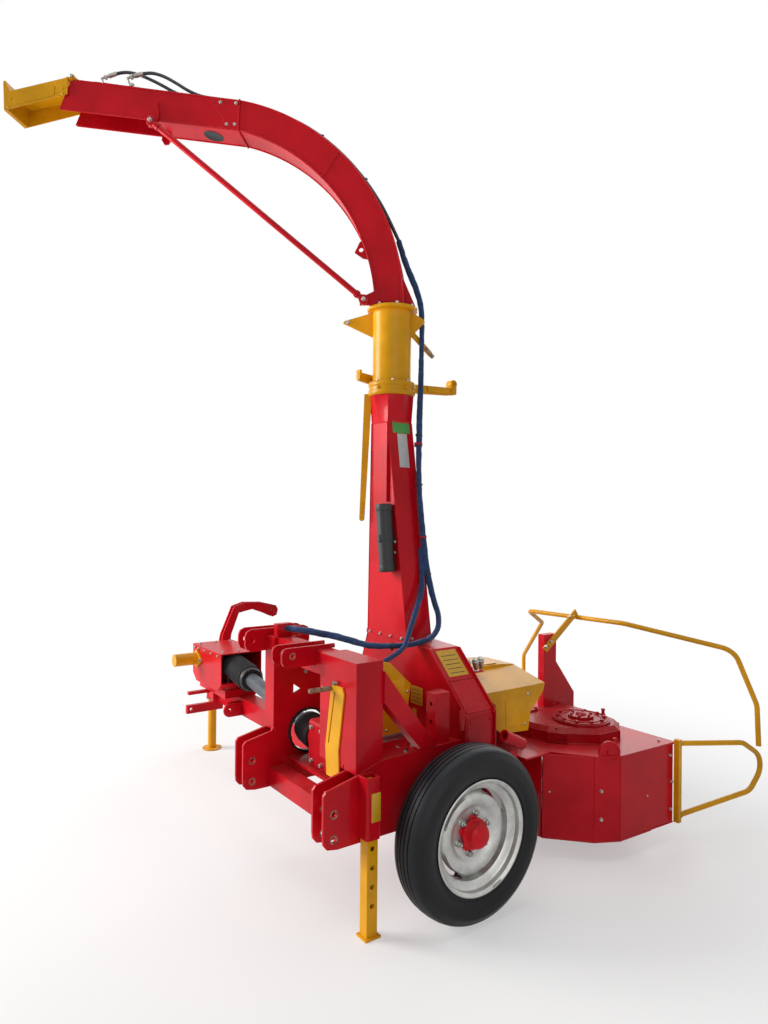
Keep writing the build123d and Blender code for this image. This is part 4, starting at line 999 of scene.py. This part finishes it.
class HARVESTER_OT_chopper(bpy.types.Operator):
    """Add the rim bolts, front seams, door, blank plates, pipe and couplings of the chopper housing"""

    bl_idname = "harvester.chopper"
    bl_label = "Chopper housing"

    def execute(self, context):
        form = Shape()
        corners = DRUM + DRUM[:1]
        for (y0, z0), (y1, z1) in zip(corners, corners[1:]):
            if min(z0, z1) < DRUM_TOP:
                form.bead(.0035, (DRUM_FACE, y0 * .995, z0), (DRUM_FACE, y1 * .995, z1))
        form.piece("housing_seams", "red_paint")

        for (y0, z0), (y1, z1) in zip(corners[5:] + corners[1:2], corners[6:] + corners[1:3]):
            count = max(2, round(math.hypot(y1 - y0, z1 - z0) / .11))
            for place in line_up(at(DRUM_RIM, y0 * 1.018, z0), at(DRUM_RIM, y1 * 1.018, z1), count)[:-1]:
                form.bolt(place - X * .012, -X, .009)
        form.piece("housing_rim_bolts", "red_paint")

        slope, out = Vector((0, 1, 1)).normalized(), Vector((0, -1, 1)).normalized()
        foot = at(.70, *DRUM[1])
        lid = (X, slope, out)
        form.slab(foot + slope * .085 + out * .002, lid, (.142, .155, .004), .004)
        form.slab(foot + slope * .172 + out * .0015, lid, (.146, .010, .003), .002)
        form.slab((.70, -.406, .66), NEAR, (.142, .115, .002), .004)
        form.slab((.70, -.4065, .50), NEAR, (.120, .150, .003), .004)
        form.piece("housing_door", "red_paint")

        for x in (.645, .755):
            form.dome(at(x, *DRUM[1]) + slope * .03 + out * .004, out, .006, .003)
            form.domes(-Y, .006, .003, (x, -.409, .70), (x, -.409, .44))
        front = ((-.33, .42), (.33, .42), (.33, .70), (-.12, .20), (.12, .20))
        form.bolts(-X, .011, *((.62, y, z) for y, z in front))
        form.piece("housing_bolts", "red_paint")

        form.slab(foot + slope * .255 + out * .001, lid, (.112, .135, .0012), .004)
        form.slab((.6192, -.078, .748), FRONT, (.084, .080, .0012), .004)
        form.slab((.6192, -.064, .671), FRONT, (.030, .034, .0012), .003)
        form.piece("housing_plates", "yellow_plate")
        for k in range(5):
            form.slab(foot + slope * (.205 + .022 * k) + out * .0018, lid, (.084, .003, .0006), .001)
        for k in range(4):
            form.slab((.6184, -.078, .722 + .017 * k), FRONT, (.062, .0025, .0006), .001)
        form.piece("housing_plate_bars", "black_plastic")

        a, b = at(.845, -.40, .612), at(.957, -.40, .556)
        length = (b - a).length
        form.lathe(a, b - a, [(0, .017), (0, .026), (length, .026), (length, .017)], 28, closed=True)
        form.slab((.90, -.40, .505), NEAR, (.05, .07, .008), .002)
        form.slab((.602, -.40, .715), NEAR, (.032, .085, .006), .004)
        form.piece("side_pipe", "red_paint")

        lean = Vector((-.35, -.25, 1)).normalized()
        for x, y in ((.862, -.150), (.905, -.158), (.945, -.150)):
            form.lathe((x, y, .846), lean, COUPLING, 24)
            form.prism((x, y, .846), lean, .024, .016, .028, .002)
        form.piece("hose_couplings", "zinc")
        form.slab((.88, -.150, .838), LEVEL, (.11, .062, .006), .006)
        form.slab((.88, -.122, .80), NEAR, (.03, .07, .006), .003)
        form.piece("coupling_bracket", "red_paint")
        return {"FINISHED"}


# ------------------------------------------------------------------ tower and turntable
TOWER_X = (.622, .765)
TOWER_FOOT, TOWER_TOP = .975, 2.003
FRONT_LEAN, BACK_LEAN = .166, -.017        # how far the tower's two sloping faces move in Y over its height
COLLAR = [(0, .085), (0, .108), (.004, .112), (.008, .1155), (.020, .1155), (.023, .1110), (.042, .1110),
          (.046, .1150), (.060, .1150), (.065, .1125), (.065, .0955), (.010, .0955)]
COLLAR_ARM = [(.566, 2.228), (.658, 2.214), (.760, 2.180), (.860, 2.198), (1.150, 2.214), (1.205, 2.226),
              (1.205, 2.252), (1.150, 2.256), (.880, 2.246), (.850, 2.238), (.680, 2.238), (.662, 2.260),
              (.584, 2.268), (.566, 2.268)]
COLLAR_ARM_Y = .3448
ARM_BOSS = [(-.022, .012), (-.022, .021), (-.018, .0225), (.018, .0225), (.022, .021), (.022, .012)]
GRIP = [(0, .0085), (.002, .0105), (.066, .0105), (.068, .0085)]


def share_up(z):
    """How far up the tower a height is, from 0 to 1."""
    return (z - TOWER_FOOT) / (TOWER_TOP - TOWER_FOOT)


class HARVESTER_OT_tower(bpy.types.Operator):
    """Add the tower's seams, flange and blank plates, the turntable's collar and lock arm, the tube's caps"""

    bl_idname = "harvester.tower"
    bl_label = "Tower and turntable"

    def execute(self, context):
        form = Shape()
        x0, x1 = TOWER_X
        for x in TOWER_X:
            form.bead(.003, (x, 0, TOWER_FOOT), (x, FRONT_LEAN, TOWER_TOP))
            form.bead(.003, (x, .317, TOWER_FOOT), (x, .300, TOWER_TOP))
        for z in (.9765, TOWER_TOP):
            y0, y1 = FRONT_LEAN * share_up(z), .317 + BACK_LEAN * share_up(z)
            frame = [(x0, y0, z), (x1, y0, z), (x1, y1, z), (x0, y1, z), (x0, y0, z)]
            for ends in zip(frame, frame[1:]):
                form.bead(.004, *ends)
        form.piece("tower_seams", "red_paint")

        lean = Vector((0, FRONT_LEAN, 1.028)).normalized()
        out = Vector((0, -1.028, FRONT_LEAN)).normalized()
        face = (X, lean, out)
        form.slab(at(.6935, .0, .987) + out * .003, face, (.150, .020, .006), .002)
        form.slab((x0 - .003, .158, .987), FRONT, (.325, .020, .006), .002)
        form.slab((x1 + .003, .158, .987), BACK, (.325, .020, .006), .002)
        form.piece("tower_flange", "red_paint")

        for y in (.03, .115, .20, .285):
            form.bolt((x0 - .006, y, .987), -X, .011)
            form.bolt((x1 + .006, y, .987), X, .011)
        for x in (.645, .742):
            form.bolt(at(x, .001, .987) + out * .006, out, .011)
        form.bolt_circle(SPOUT_AXIS + Z * 2.200, Z, .1035, 8, .010, .2)
        form.piece("tower_bolts", "zinc")

        y = COLLAR_ARM_Y
        form.lathe(SPOUT_AXIS + Z * 2.135, Z, COLLAR, 72, closed=True)
        form.panel([at(x, y - .008, z - .010) for x, z in COLLAR_ARM], Y * .016)
        form.slab((.574, y, 2.247), BACK, (.034, .048, .012), .004)
        form.slab((1.182, y, 2.246), (X, Z, Y), (.038, .072, .030), .010)
        form.lathe((1.176, y, 2.267), -Y, ARM_BOSS, 28, closed=True)
        form.slab((1.075, y - .013, 2.224), (X + Z * .02, Z, -Y), (.150, .030, .010), .006)
        top, tip = on_spout(.116, 2.150), on_spout(.142, 1.537)
        way = (tip - top).normalized()
        lever = [top - ALONG * .019, top + ALONG * .019]
        lever += [tip + spoke(math.pi * i / 10, ALONG, way) * .0125 for i in range(11)]
        form.panel([p - ASIDE * .004 for p in lever], ASIDE * .008)
        for along in (.030, .052, .074):
            form.lathe(tip - way * along - ASIDE * .0042, -ASIDE, [(0, .0035), (0, .006), (.0008, .006),
                                                                 (.0008, .0035)], 16, closed=True)
        for i in range(5):
            way = spoke(math.tau * (i + .75) / 5)
            form.bolt(SPOUT_AXIS + Z * 2.1675 + way * .110, way, .012)
        form.piece("turntable_collar", "yellow_paint", replaces=("turntable_ring",))

        a, b = at(.762, .16, 2.450), at(.888, .16, 2.358)
        way = (b - a).normalized()
        form.slab((a + b) / 2 + Y * .012, (way, way.cross(Y), Y), ((b - a).length, .026, .010), .003)
        form.piece("swing_lock_arm", "yellow_paint", "spout")
        form.lathe(b - way * .050 + Y * .012, way, GRIP, 20)
        form.piece("swing_lock_handle", "rusty_steel", "spout")

        top, foot = at(.581, .135, 1.600), at(.581, .103, 1.300)
        way = (foot - top).normalized()
        for along in (-.006, .278):
            form.lathe(top + way * along, way, [(0, .0355), (.0015, .0385), (.003, .0390), (.031, .0390),
                                                (.0325, .0385), (.034, .0355)], 40)
        form.lathe(top + way * .144, way, [(0, .037), (0, .0385), (.022, .0385), (.022, .037)], 40)
        form.slab(top + way * .155 - X * .039, (way, Y, -X), (.034, .020, .006), .003)
        form.piece("document_tube_caps", "black_plastic")
        form.bolts(-Y, .010, (.612, .088, 1.431), (.612, .088, 1.381))
        form.piece("document_tube_bolts", "zinc")

        place = at(.698, FRONT_LEAN * share_up(1.980), 1.980)
        form.slab(place + out * .001, face, (.102, .060, .0012), .003)
        ring = [(0, .014), (0, .018), (.0008, .018), (.0008, .014)]
        form.lathe(place + out * .0016, out, ring, 24, closed=True)
        form.piece("tower_green_plate", "green_plate")
        form.slab(at(.700, FRONT_LEAN * share_up(1.866), 1.866) + out * .001, face, (.058, .166, .0012), .003)
        form.piece("tower_white_plate", "white_plate")
        return {"FINISHED"}


# ------------------------------------------------------------------ spout
DUCT_HALF = .0775
HOOD_HALF = .0875
TURNTABLE_TOP = 2.564
OUTER_ARC = ((-.060, TURNTABLE_TOP), (.140, 3.177), (.755, 3.588))      # along the spout and height
INNER_ARC = ((.075, TURNTABLE_TOP), (.225, 3.044), (.761, 3.443))
OUTER_END, INNER_END = (1.592, 3.736), (1.692, 3.5985)
CUFF = [(.764, 3.589), (.906, 3.614), (.886, 3.560), (.850, 3.520), (.838, 3.458), (.766, 3.446)]
LEAF = [(1.178, 3.600), (1.196, 3.600), (1.222, 3.545), (1.226, 3.500), (1.212, 3.476), (1.190, 3.476),
        (1.174, 3.500), (1.168, 3.545)]
STRUT_ENDS = ((.128, 2.585), (1.202, 3.498))
STRUT_SIDE, STRUT_BOLT_SIDE = -.0995, -.1135
STRUT_EYE = [(-.014, .021), (-.012, .024), (.012, .024), (.014, .021)]
# Profile of a black disc that fills the hole under the spout as painted shade.
SHADED_HOLE_DISC = [(-.002, .050), (.0015, .050), (.0015, .046), (.0005, .044), (.0005, .004)]
COVER_SLOPE = .18             # rise of the cylinder's cover along the spout


def arc_through(a, b, c, count=40):
    """Places on the circle arc through three (s, z) places."""
    (ax, ay), (bx, by), (cx, cy) = a, b, c
    d = 2 * (ax * (by - cy) + bx * (cy - ay) + cx * (ay - by))
    a2, b2, c2 = ax * ax + ay * ay, bx * bx + by * by, cx * cx + cy * cy
    ux = (a2 * (by - cy) + b2 * (cy - ay) + c2 * (ay - by)) / d
    uy = (a2 * (cx - bx) + b2 * (ax - cx) + c2 * (bx - ax)) / d
    r = math.hypot(ax - ux, ay - uy)
    start, stop = math.atan2(ay - uy, ax - ux), math.atan2(cy - uy, cx - ux)
    angles = [start + (stop - start) * i / count for i in range(count + 1)]
    return [(ux + r * math.cos(angle), uy + r * math.sin(angle)) for angle in angles]


class HARVESTER_OT_spout(bpy.types.Operator):
    """Add the spout's edge strips, weld seams, flange bolts, strut eyes, hinge nuts and deflector screws"""

    bl_idname = "harvester.spout"
    bl_label = "Spout"

    def execute(self, context):
        form = Shape("spout")
        for side in (-1, 1):
            for line in (arc_through(*OUTER_ARC) + [OUTER_END], arc_through(*INNER_ARC) + [INNER_END]):
                places = [on_spout(s, z, side * (DUCT_HALF + .001)) for s, z in line]
                form.sweep(divided(places, .02), .0042, 8)
        form.piece("spout_edge_strips", "red_paint")

        for s0, z0, s1, z1, proud, thick in ((.7570, 3.590, .7630, 3.441, .006, .0045),
                                             (.262, 3.309, .338, 3.197, .002, .0022)):
            wide = DUCT_HALF + proud
            for n in (-wide, wide):
                form.bead(thick, on_spout(s0, z0, n), on_spout(s1, z1, n))
            form.bead(thick, on_spout(s0, z0 + .002, -wide), on_spout(s0, z0 + .002, wide))
            form.bead(thick, on_spout(s1, z1 - .002, -wide), on_spout(s1, z1 - .002, wide))
        for n in (-.006, .006):
            form.bead(.003, on_spout(.072, 2.566, n), on_spout(.120, 2.566, n))
        form.piece("spout_seams", "red_paint")

        for side in (-1, 1):
            form.slab(on_spout(.020, 2.640, side * (DUCT_HALF + .0015)), (ALONG, UP, ASIDE * side),
                      (.110, .120, .003), .02)
            for outline, thick in ((CUFF, .004), (LEAF, .009)):
                form.panel([on_spout(s, z, side * DUCT_HALF) for s, z in outline], ASIDE * side * thick)
        form.piece("spout_doublers", "red_paint")

        form.bolt_circle(SPOUT_AXIS + Z * TURNTABLE_TOP, Z, .112, 8, .014, .35)
        form.bolts(-ASIDE, .017, *(on_spout(s, z, STRUT_BOLT_SIDE) for s, z in STRUT_ENDS))
        for s, z in ((.854, 3.583), (.774, 3.574), (.821, 3.473), (.780, 3.470)):
            for side in (-1, 1):
                form.bolt(on_spout(s, z, side * (DUCT_HALF + .004)), ASIDE * side, .013)
        for s in (1.32, 1.40, 1.49):
            for side in (-1, 1):
                form.dome(on_spout(s, 3.703 + (s - 1.30) * .17, side * .045), ASIDE * side, .007, .004)
        for side in (-1, 1):
            form.bolt(on_spout(1.630, 3.757, side * .0845), ASIDE * side, .016)
        form.bolt(on_spout(.218, 2.504, -.006), -ASIDE, .016)
        form.piece("spout_bolts", "zinc")

        under = (UP + ALONG * -.1672).normalized() * -1
        # Black disc in the hole underneath: painted shade for the dark inside of the hole.
        form.lathe(on_spout(.920, 3.4696, .010), under, SHADED_HOLE_DISC, 40)
        form.piece("spout_underside_hole_shade", "black_plastic")

        low, high = (on_spout(s, z, STRUT_SIDE) for s, z in STRUT_ENDS)
        way = (high - low).normalized()
        for place, inward in ((low, way), (high, -way)):
            form.lathe(place + ASIDE * .001, -ASIDE, STRUT_EYE, 28)
            form.ridge(place + inward * .045, way, .0135, .0185, .010, .008, 24)
        form.piece("strut_eyes", "red_paint")

        cover = (ALONG + UP * COVER_SLOPE, ASIDE, UP - ALONG * COVER_SLOPE)
        form.slab(on_spout(1.408, 3.7305), cover, (.20, .066, .003), .01)
        for n in (-.0455, .0455):
            form.bead(.003, on_spout(1.285, 3.684, n), on_spout(1.531, 3.728, n))
        form.piece("cylinder_cover_pressing", "red_paint")

        for side in (-1, 1):
            form.slab(on_spout(1.83, 3.672, side * (HOOD_HALF + .0008)), (ALONG - UP * .16, UP, ASIDE * side),
                      (.22, .05, .002), .012)
            for s, z in ((1.68, 3.70), (1.68, 3.67), (1.96, 3.66), (1.97, 3.62)):
                form.dome(on_spout(s, z, side * HOOD_HALF), ASIDE * side, .006, .003)
        for n in (-.05, .0, .05):
            form.bead(.003, on_spout(1.700, 3.7455, n), on_spout(1.930, 3.7075, n))
        form.piece("deflector_pressings", "yellow_paint", "deflector")
        return {"FINISHED"}


# ------------------------------------------------------------------ header
WALL = [(1.130, -.368), (1.284, -.536), (1.394, -.593), (1.770, -.614)]
WALL_TOP, WALL_FOOT = .4685, .093
CASE = [(1.239, -.192), (1.261, -.277), (1.314, -.353), (1.431, -.447), (1.566, -.460), (1.668, -.380),
        (1.692, -.250)]
CASE_FOOT, CASE_TOP = .480, .526
WALL_DISC = [(-.010, .012), (-.010, .050), (.002, .052), (.006, .050), (.006, .042), (.002, .038),
             (.003, .014), (.010, .012), (.012, .006)]
BREATHER = [(0, .012), (.012, .012), (.013, .008), (.026, .008), (.028, .010), (.036, .010)]
ROTOR_X, ROTOR_Y = 1.500, .282
LOOP_X, LOOP_Y = 1.797, .632


def on_wall(x, z, side=-1):
    """A place on the outside of a header side wall and the way it faces."""
    (x0, y0), (x1, y1) = next(ends for ends in zip(WALL, WALL[1:]) if x <= ends[1][0])
    y = y0 + (y1 - y0) * (x - x0) / (x1 - x0)
    out = Vector((y1 - y0, (x1 - x0) * side, 0)).normalized()
    return at(x, -side * y, z), out


class HARVESTER_OT_header(bpy.types.Operator):
    """Add the bolts, ribs, lids, covers and wear strips of the header and its gearbox"""

    bl_idname = "harvester.header"
    bl_label = "Header"

    def execute(self, context):
        form = Shape()
        for side in (-1, 1):
            for x, z, size in ((1.311, .320, .013), (1.311, .192, .013), (1.759, .289, .012),
                               (1.752, .159, .012), (1.748, .417, .012)):
                form.bolt(*on_wall(x, z, side), size)
            for x, z in ((1.583, .255), (1.150, .300)):
                form.dome(*on_wall(x, z, side), .005, .003)
        form.bolts(Z, .012, (1.72, -.57, .478), (1.72, .57, .478))
        form.bolts(-Y, .015, (1.706, -.038, 1.016), (1.551, -.038, .895), (1.513, -.038, .872))
        form.piece("header_bolts", "zinc")

        for side in (-1, 1):
            wall = [(x, -side * y) for x, y in WALL]
            for a, b in zip(wall, wall[1:]):
                form.bead(.004, (*a, WALL_TOP), (*b, WALL_TOP))
                form.bead(.004, (*a, WALL_FOOT), (*b, WALL_FOOT))
            for corner in wall[1:3]:
                form.bead(.003, (*corner, WALL_FOOT + .002), (*corner, WALL_TOP - .0005))
            form.slab((1.785, side * .631, .30), (X, Z, Y * side), (.018, .34, .003), .002)
        form.piece("header_seams", "red_paint")

        for side in (-1, 1):
            case = [(x, -side * y) for x, y in CASE]
            for a, b in zip(case, case[1:]):
                form.bead(.006, (*a, CASE_FOOT), (*b, CASE_FOOT))
                form.bead(.0035, (*a, CASE_TOP), (*b, CASE_TOP))
            for corner in case[2:6]:
                form.bead(.005, (*corner, CASE_FOOT), (*corner, CASE_TOP))
            out = Vector((-.82, side * .57, 0)).normalized()
            flat = out.cross(Z)
            for u, v, wide, tall in ((0, .020, .084, .005), (0, -.020, .084, .005), (-.042, 0, .005, .045),
                                     (.042, 0, .005, .045)):
                form.slab(at(1.278, side * .320, .507) + flat * u + Z * v + out * .003, (flat, Z, out),
                          (wide, tall, .006), .001)
            for radius in (.128, .098):
                step = [(0, radius - .004), (.003, radius - .0025), (.003, radius + .0025), (0, radius + .004)]
                form.lathe((ROTOR_X, side * ROTOR_Y, .5605), Z, step, 72, closed=True)
        form.lathe((1.59, 0, .548), Z, [(0, .034), (.010, .034), (.013, .030)], 32)
        form.slab((1.40, 0, .553), LEVEL, (.10, .11, .010), .012)
        form.piece("gearbox_ribs", "casting_red")

        for side in (-1, 1):
            spot = at(ROTOR_X, side * ROTOR_Y, 0)
            form.bolt_circle(spot + Z * .560, Z, .112, 10, .016, .2)
            form.bolt_circle(spot + Z * .574, Z, .049, 6, .012)
            form.dome(spot + Z * .574, Z, .026, .012, 24)
            form.lathe(spot + Z * .548 + X * .148 + Y * side * .02, Z, BREATHER, 16)
        form.bolts(Z, .012, *((x, y, .558) for y in (-.045, .045) for x in (1.365, 1.435)))
        form.bolt_circle((1.59, 0, .561), Z, .022, 4, .009)
        form.bolts(Z, .014, *((x, side * y, .535) for side in (-1, 1)
                              for x, y in ((1.30, .30), (1.45, .405), (1.60, .38))))
        form.piece("gearbox_lid_bolts", "casting_red")

        for side in (-1, 1):
            place, out = on_wall(1.345, .492, side)
            form.lathe(place, out, WALL_DISC, 48)
            if side < 0:
                latch = place + Vector((.055, .012, .028))
                form.slab(latch, (Z, out.cross(Z), out), (.050, .022, .010), .006)
        form.piece("side_wall_discs", "red_paint")

        form.bolt_circle((1.262, -.015, .600), X, .046, 6, .013)
        form.bolts(Z, .013, *((x, y, .640) for y in (-.075, .045) for x in (1.05, 1.20)))
        form.piece("neck_bolts", "zinc")

        for side in (-1, 1):
            for z in (.470, .125):
                y = side * LOOP_Y
                form.bead(.004, (LOOP_X - .0005, y - side * .013, z), (LOOP_X - .0005, y + side * .013, z))
                form.lathe((LOOP_X, y, z), X, [(0, .0175), (.006, .0150)], 24)
        form.piece("loop_welds", "yellow_paint")
        return {"FINISHED"}


# ------------------------------------------------------------------ rotors and rollers
TOOTH_LEVELS = (.190, .290, .390)
TEETH = 14
TIP_REACH, TIP_RISE, HUB_BOLT_REACH = .243, .0078, .160
HUB_SEAMS = (.124, .188, .199, .288, .299, .388, .399, .438)
ROLLER_RIDGES, RIDGE_LEVELS, ROLLER_REACH, ROLLER_END = 8, 12, .0590, .03


class HARVESTER_OT_rotors(bpy.types.Operator):
    """Add worn tips, hub seams and bolts to the rotors and wear ridges to the feed rollers"""

    bl_idname = "harvester.rotors"
    bl_label = "Rotors and feed rollers"

    def execute(self, context):
        for tag in ("near", "far"):
            form = Shape(tag + "_rotor")
            centre = middle("rotor_" + tag)
            centre.z = 0
            for z in TOOTH_LEVELS:
                for i in range(TEETH):
                    out = spoke(math.tau * (i + .36) / TEETH)
                    tip = centre + out * TIP_REACH + Z * (z + TIP_RISE)
                    form.slab(tip, (out, out.cross(Z), Z), (.046, .026, .0018), .003)
                form.bolt_circle(centre + Z * (z + .007), Z, HUB_BOLT_REACH, 8, .013, .3)
            form.piece("rotor_tips_" + tag, "machined_steel")
            for z in HUB_SEAMS:
                form.lathe(centre + Z * z, Z, [(-.004, .1275), (0, .131), (.004, .1275)], 56)
            form.piece("rotor_seams_" + tag, "red_paint")
            axis = middle("feed_roller_" + tag)
            low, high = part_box("feed_roller_" + tag)
            levels = line_up(Z * (low.z + ROLLER_END), Z * (high.z - ROLLER_END), RIDGE_LEVELS)
            for i in range(ROLLER_RIDGES):
                out = spoke(math.tau * i / ROLLER_RIDGES)
                for level in levels:
                    place = Vector((axis.x, axis.y, level.z)) + out * ROLLER_REACH
                    form.slab(place, (out.cross(Z), Z, out), (.008, .010, .0016), .001)
            form.piece("roller_ridges_" + tag, "machined_steel", tag + "_feed_roller")
        return {"FINISHED"}


# ------------------------------------------------------------------ stage
CAMERA_PLACE = (-1.3639, -2.5793, 1.5562)
CAMERA_YAW, CAMERA_PITCH, CAMERA_ROLL = 0.6222, 0.004, 0.0093
FLOOR_REACH = 40.0
ROOM_LIGHT = 0.17             # strength of the world for rays that aren't seen directly
LAMPS = (                     # name, place, target, size, share of the key lamp's power, colour
    ("key", (-4.8, 4.7, 3.5), (.6, .2, 1.3), 3.6, 1.0, (1.0, 0.985, 0.96)),
    ("fill", (-1.6, -6.5, 3.4), (.8, .0, 1.0), 5.0, .16, (1.0, 0.99, 0.98)),
    ("back", (6.5, 3.5, 4.5), (.8, .6, 1.4), 5.0, .25, (1.0, 1.0, 1.0)),
    ("top", (.6, .4, 8.0), (.6, .4, 0), 6.0, .30, (1.0, 1.0, 1.0)),
)


class HARVESTER_OT_stage(bpy.types.Operator):
    """Lay the pale floor, hang the lamps and set the camera"""

    bl_idname = "harvester.stage"
    bl_label = "Stage"

    def execute(self, context):
        settings = context.scene.harvester_stage
        self.camera(context, settings.lens)
        self.floor(context)
        for lamp in LAMPS:
            self.lamp(context, settings.key_strength, *lamp)
        self.world(context)
        context.scene.view_settings.view_transform = "Standard"
        return {"FINISHED"}

    def camera(self, context, lens):
        yaw, pitch = CAMERA_YAW, CAMERA_PITCH
        ahead = Vector((math.sin(yaw) * math.cos(pitch), math.cos(yaw) * math.cos(pitch), math.sin(pitch)))
        right = Vector((math.cos(yaw), -math.sin(yaw), 0))
        up = right.cross(ahead)
        across_view, up_view = spoke(CAMERA_ROLL, right, up), spoke(CAMERA_ROLL, up, -right)
        data = bpy.data.cameras.new("camera")
        data.lens = lens
        data.sensor_width = 36.0
        camera = bpy.data.objects.new("camera", data)
        columns = Matrix((across_view, up_view, -ahead)).transposed().to_4x4()
        camera.matrix_world = Matrix.Translation(at(*CAMERA_PLACE)) @ columns
        context.scene.collection.objects.link(camera)
        context.scene.camera = camera

    def floor(self, context):
        """A pale floor that fades to white away from the machine."""
        data = bpy.data.meshes.new("floor")
        corners = [(x * FLOOR_REACH, y * FLOOR_REACH, 0) for x, y in ((-1, -1), (1, -1), (1, 1), (-1, 1))]
        data.from_pydata(corners, [], [(0, 1, 2, 3)])
        floor = bpy.data.objects.new("floor", data)
        context.scene.collection.objects.link(floor)
        f = Finish("floor", roughness=0.9)
        f.set(Base_Color=f.mix(f.noise(3.0, 3.0, 0.5), (0.84, 0.84, 0.84), (0.86, 0.86, 0.86)))
        distance = f.vector("LENGTH", f.place, output="Value")
        seen = f.maths("MAXIMUM", f.seen_by("Camera"), f.seen_by("Glossy"))
        share = seen * (0.42 + 0.58 * distance.between(1.6, 3.6))
        white = f.node("ShaderNodeEmission", None, {"Color": (1, 1, 1, 1), "Strength": 1.0})
        lit = Field(f, f.shader.outputs[0])
        mixed = f.node("ShaderNodeMixShader", None, {"Fac": share, 1: lit, 2: white})
        f.feed(f.existing("OUTPUT_MATERIAL"), {"Surface": mixed})
        data.materials.append(f.material)

    def lamp(self, context, power, name, place, target, size, share, colour):
        data = bpy.data.lights.new(name, "AREA")
        data.shape = "SQUARE"
        data.size = size
        data.energy = power * share
        data.color = colour
        lamp = bpy.data.objects.new(name, data)
        lamp.location = at(*place)
        lamp.rotation_euler = (at(*target) - at(*place)).to_track_quat("-Z", "Y").to_euler()
        context.scene.collection.objects.link(lamp)

    def world(self, context):
        """White where it is seen, and dimmer as a light."""
        world = bpy.data.worlds.new("studio")
        context.scene.world = world
        world.use_nodes = True
        g = Graph(world.node_tree)
        seen = g.maths("MAXIMUM", g.seen_by("Camera"), g.seen_by("Glossy"))
        seen = g.maths("MAXIMUM", seen, g.seen_by("Transmission"))
        strength = ROOM_LIGHT + (1.0 - ROOM_LIGHT) * seen
        g.feed(g.existing("BACKGROUND"), {"Color": (1, 1, 1, 1), "Strength": strength})


# ------------------------------------------------------------------ panel and registration
OPERATORS = (HARVESTER_OT_stage, HARVESTER_OT_paint, HARVESTER_OT_hoses, HARVESTER_OT_wheel,
             HARVESTER_OT_headstock, HARVESTER_OT_drive, HARVESTER_OT_chopper, HARVESTER_OT_tower,
             HARVESTER_OT_spout, HARVESTER_OT_header, HARVESTER_OT_rotors)
SETTINGS = {"harvester_paint": PaintSettings, "harvester_wheel": WheelSettings,
            "harvester_hoses": HoseSettings, "harvester_stage": StageSettings}


class HARVESTER_PT_panel(bpy.types.Panel):
    """Lists the settings and the steps of the harvester's looks"""

    bl_idname = "HARVESTER_PT_panel"
    bl_label = "Harvester"
    bl_space_type = "VIEW_3D"
    bl_region_type = "UI"
    bl_category = "Harvester"

    def draw(self, context):
        for name, group in SETTINGS.items():
            box = self.layout.box()
            for setting in group.__annotations__:
                box.prop(getattr(context.scene, name), setting)
        for operator in OPERATORS:
            self.layout.operator(operator.bl_idname)


CLASSES = tuple(SETTINGS.values()) + OPERATORS + (HARVESTER_PT_panel,)


def register():
    for kind in CLASSES:
        bpy.utils.register_class(kind)
    for name, group in SETTINGS.items():
        setattr(bpy.types.Scene, name, bpy.props.PointerProperty(type=group))


def unregister():
    for name in SETTINGS:
        delattr(bpy.types.Scene, name)
    for kind in reversed(CLASSES):
        bpy.utils.unregister_class(kind)


def main():
    register()
    for operator in OPERATORS:
        group, name = operator.bl_idname.split(".")
        getattr(getattr(bpy.ops, group), name)()


if __name__ == "__main__":
    main()
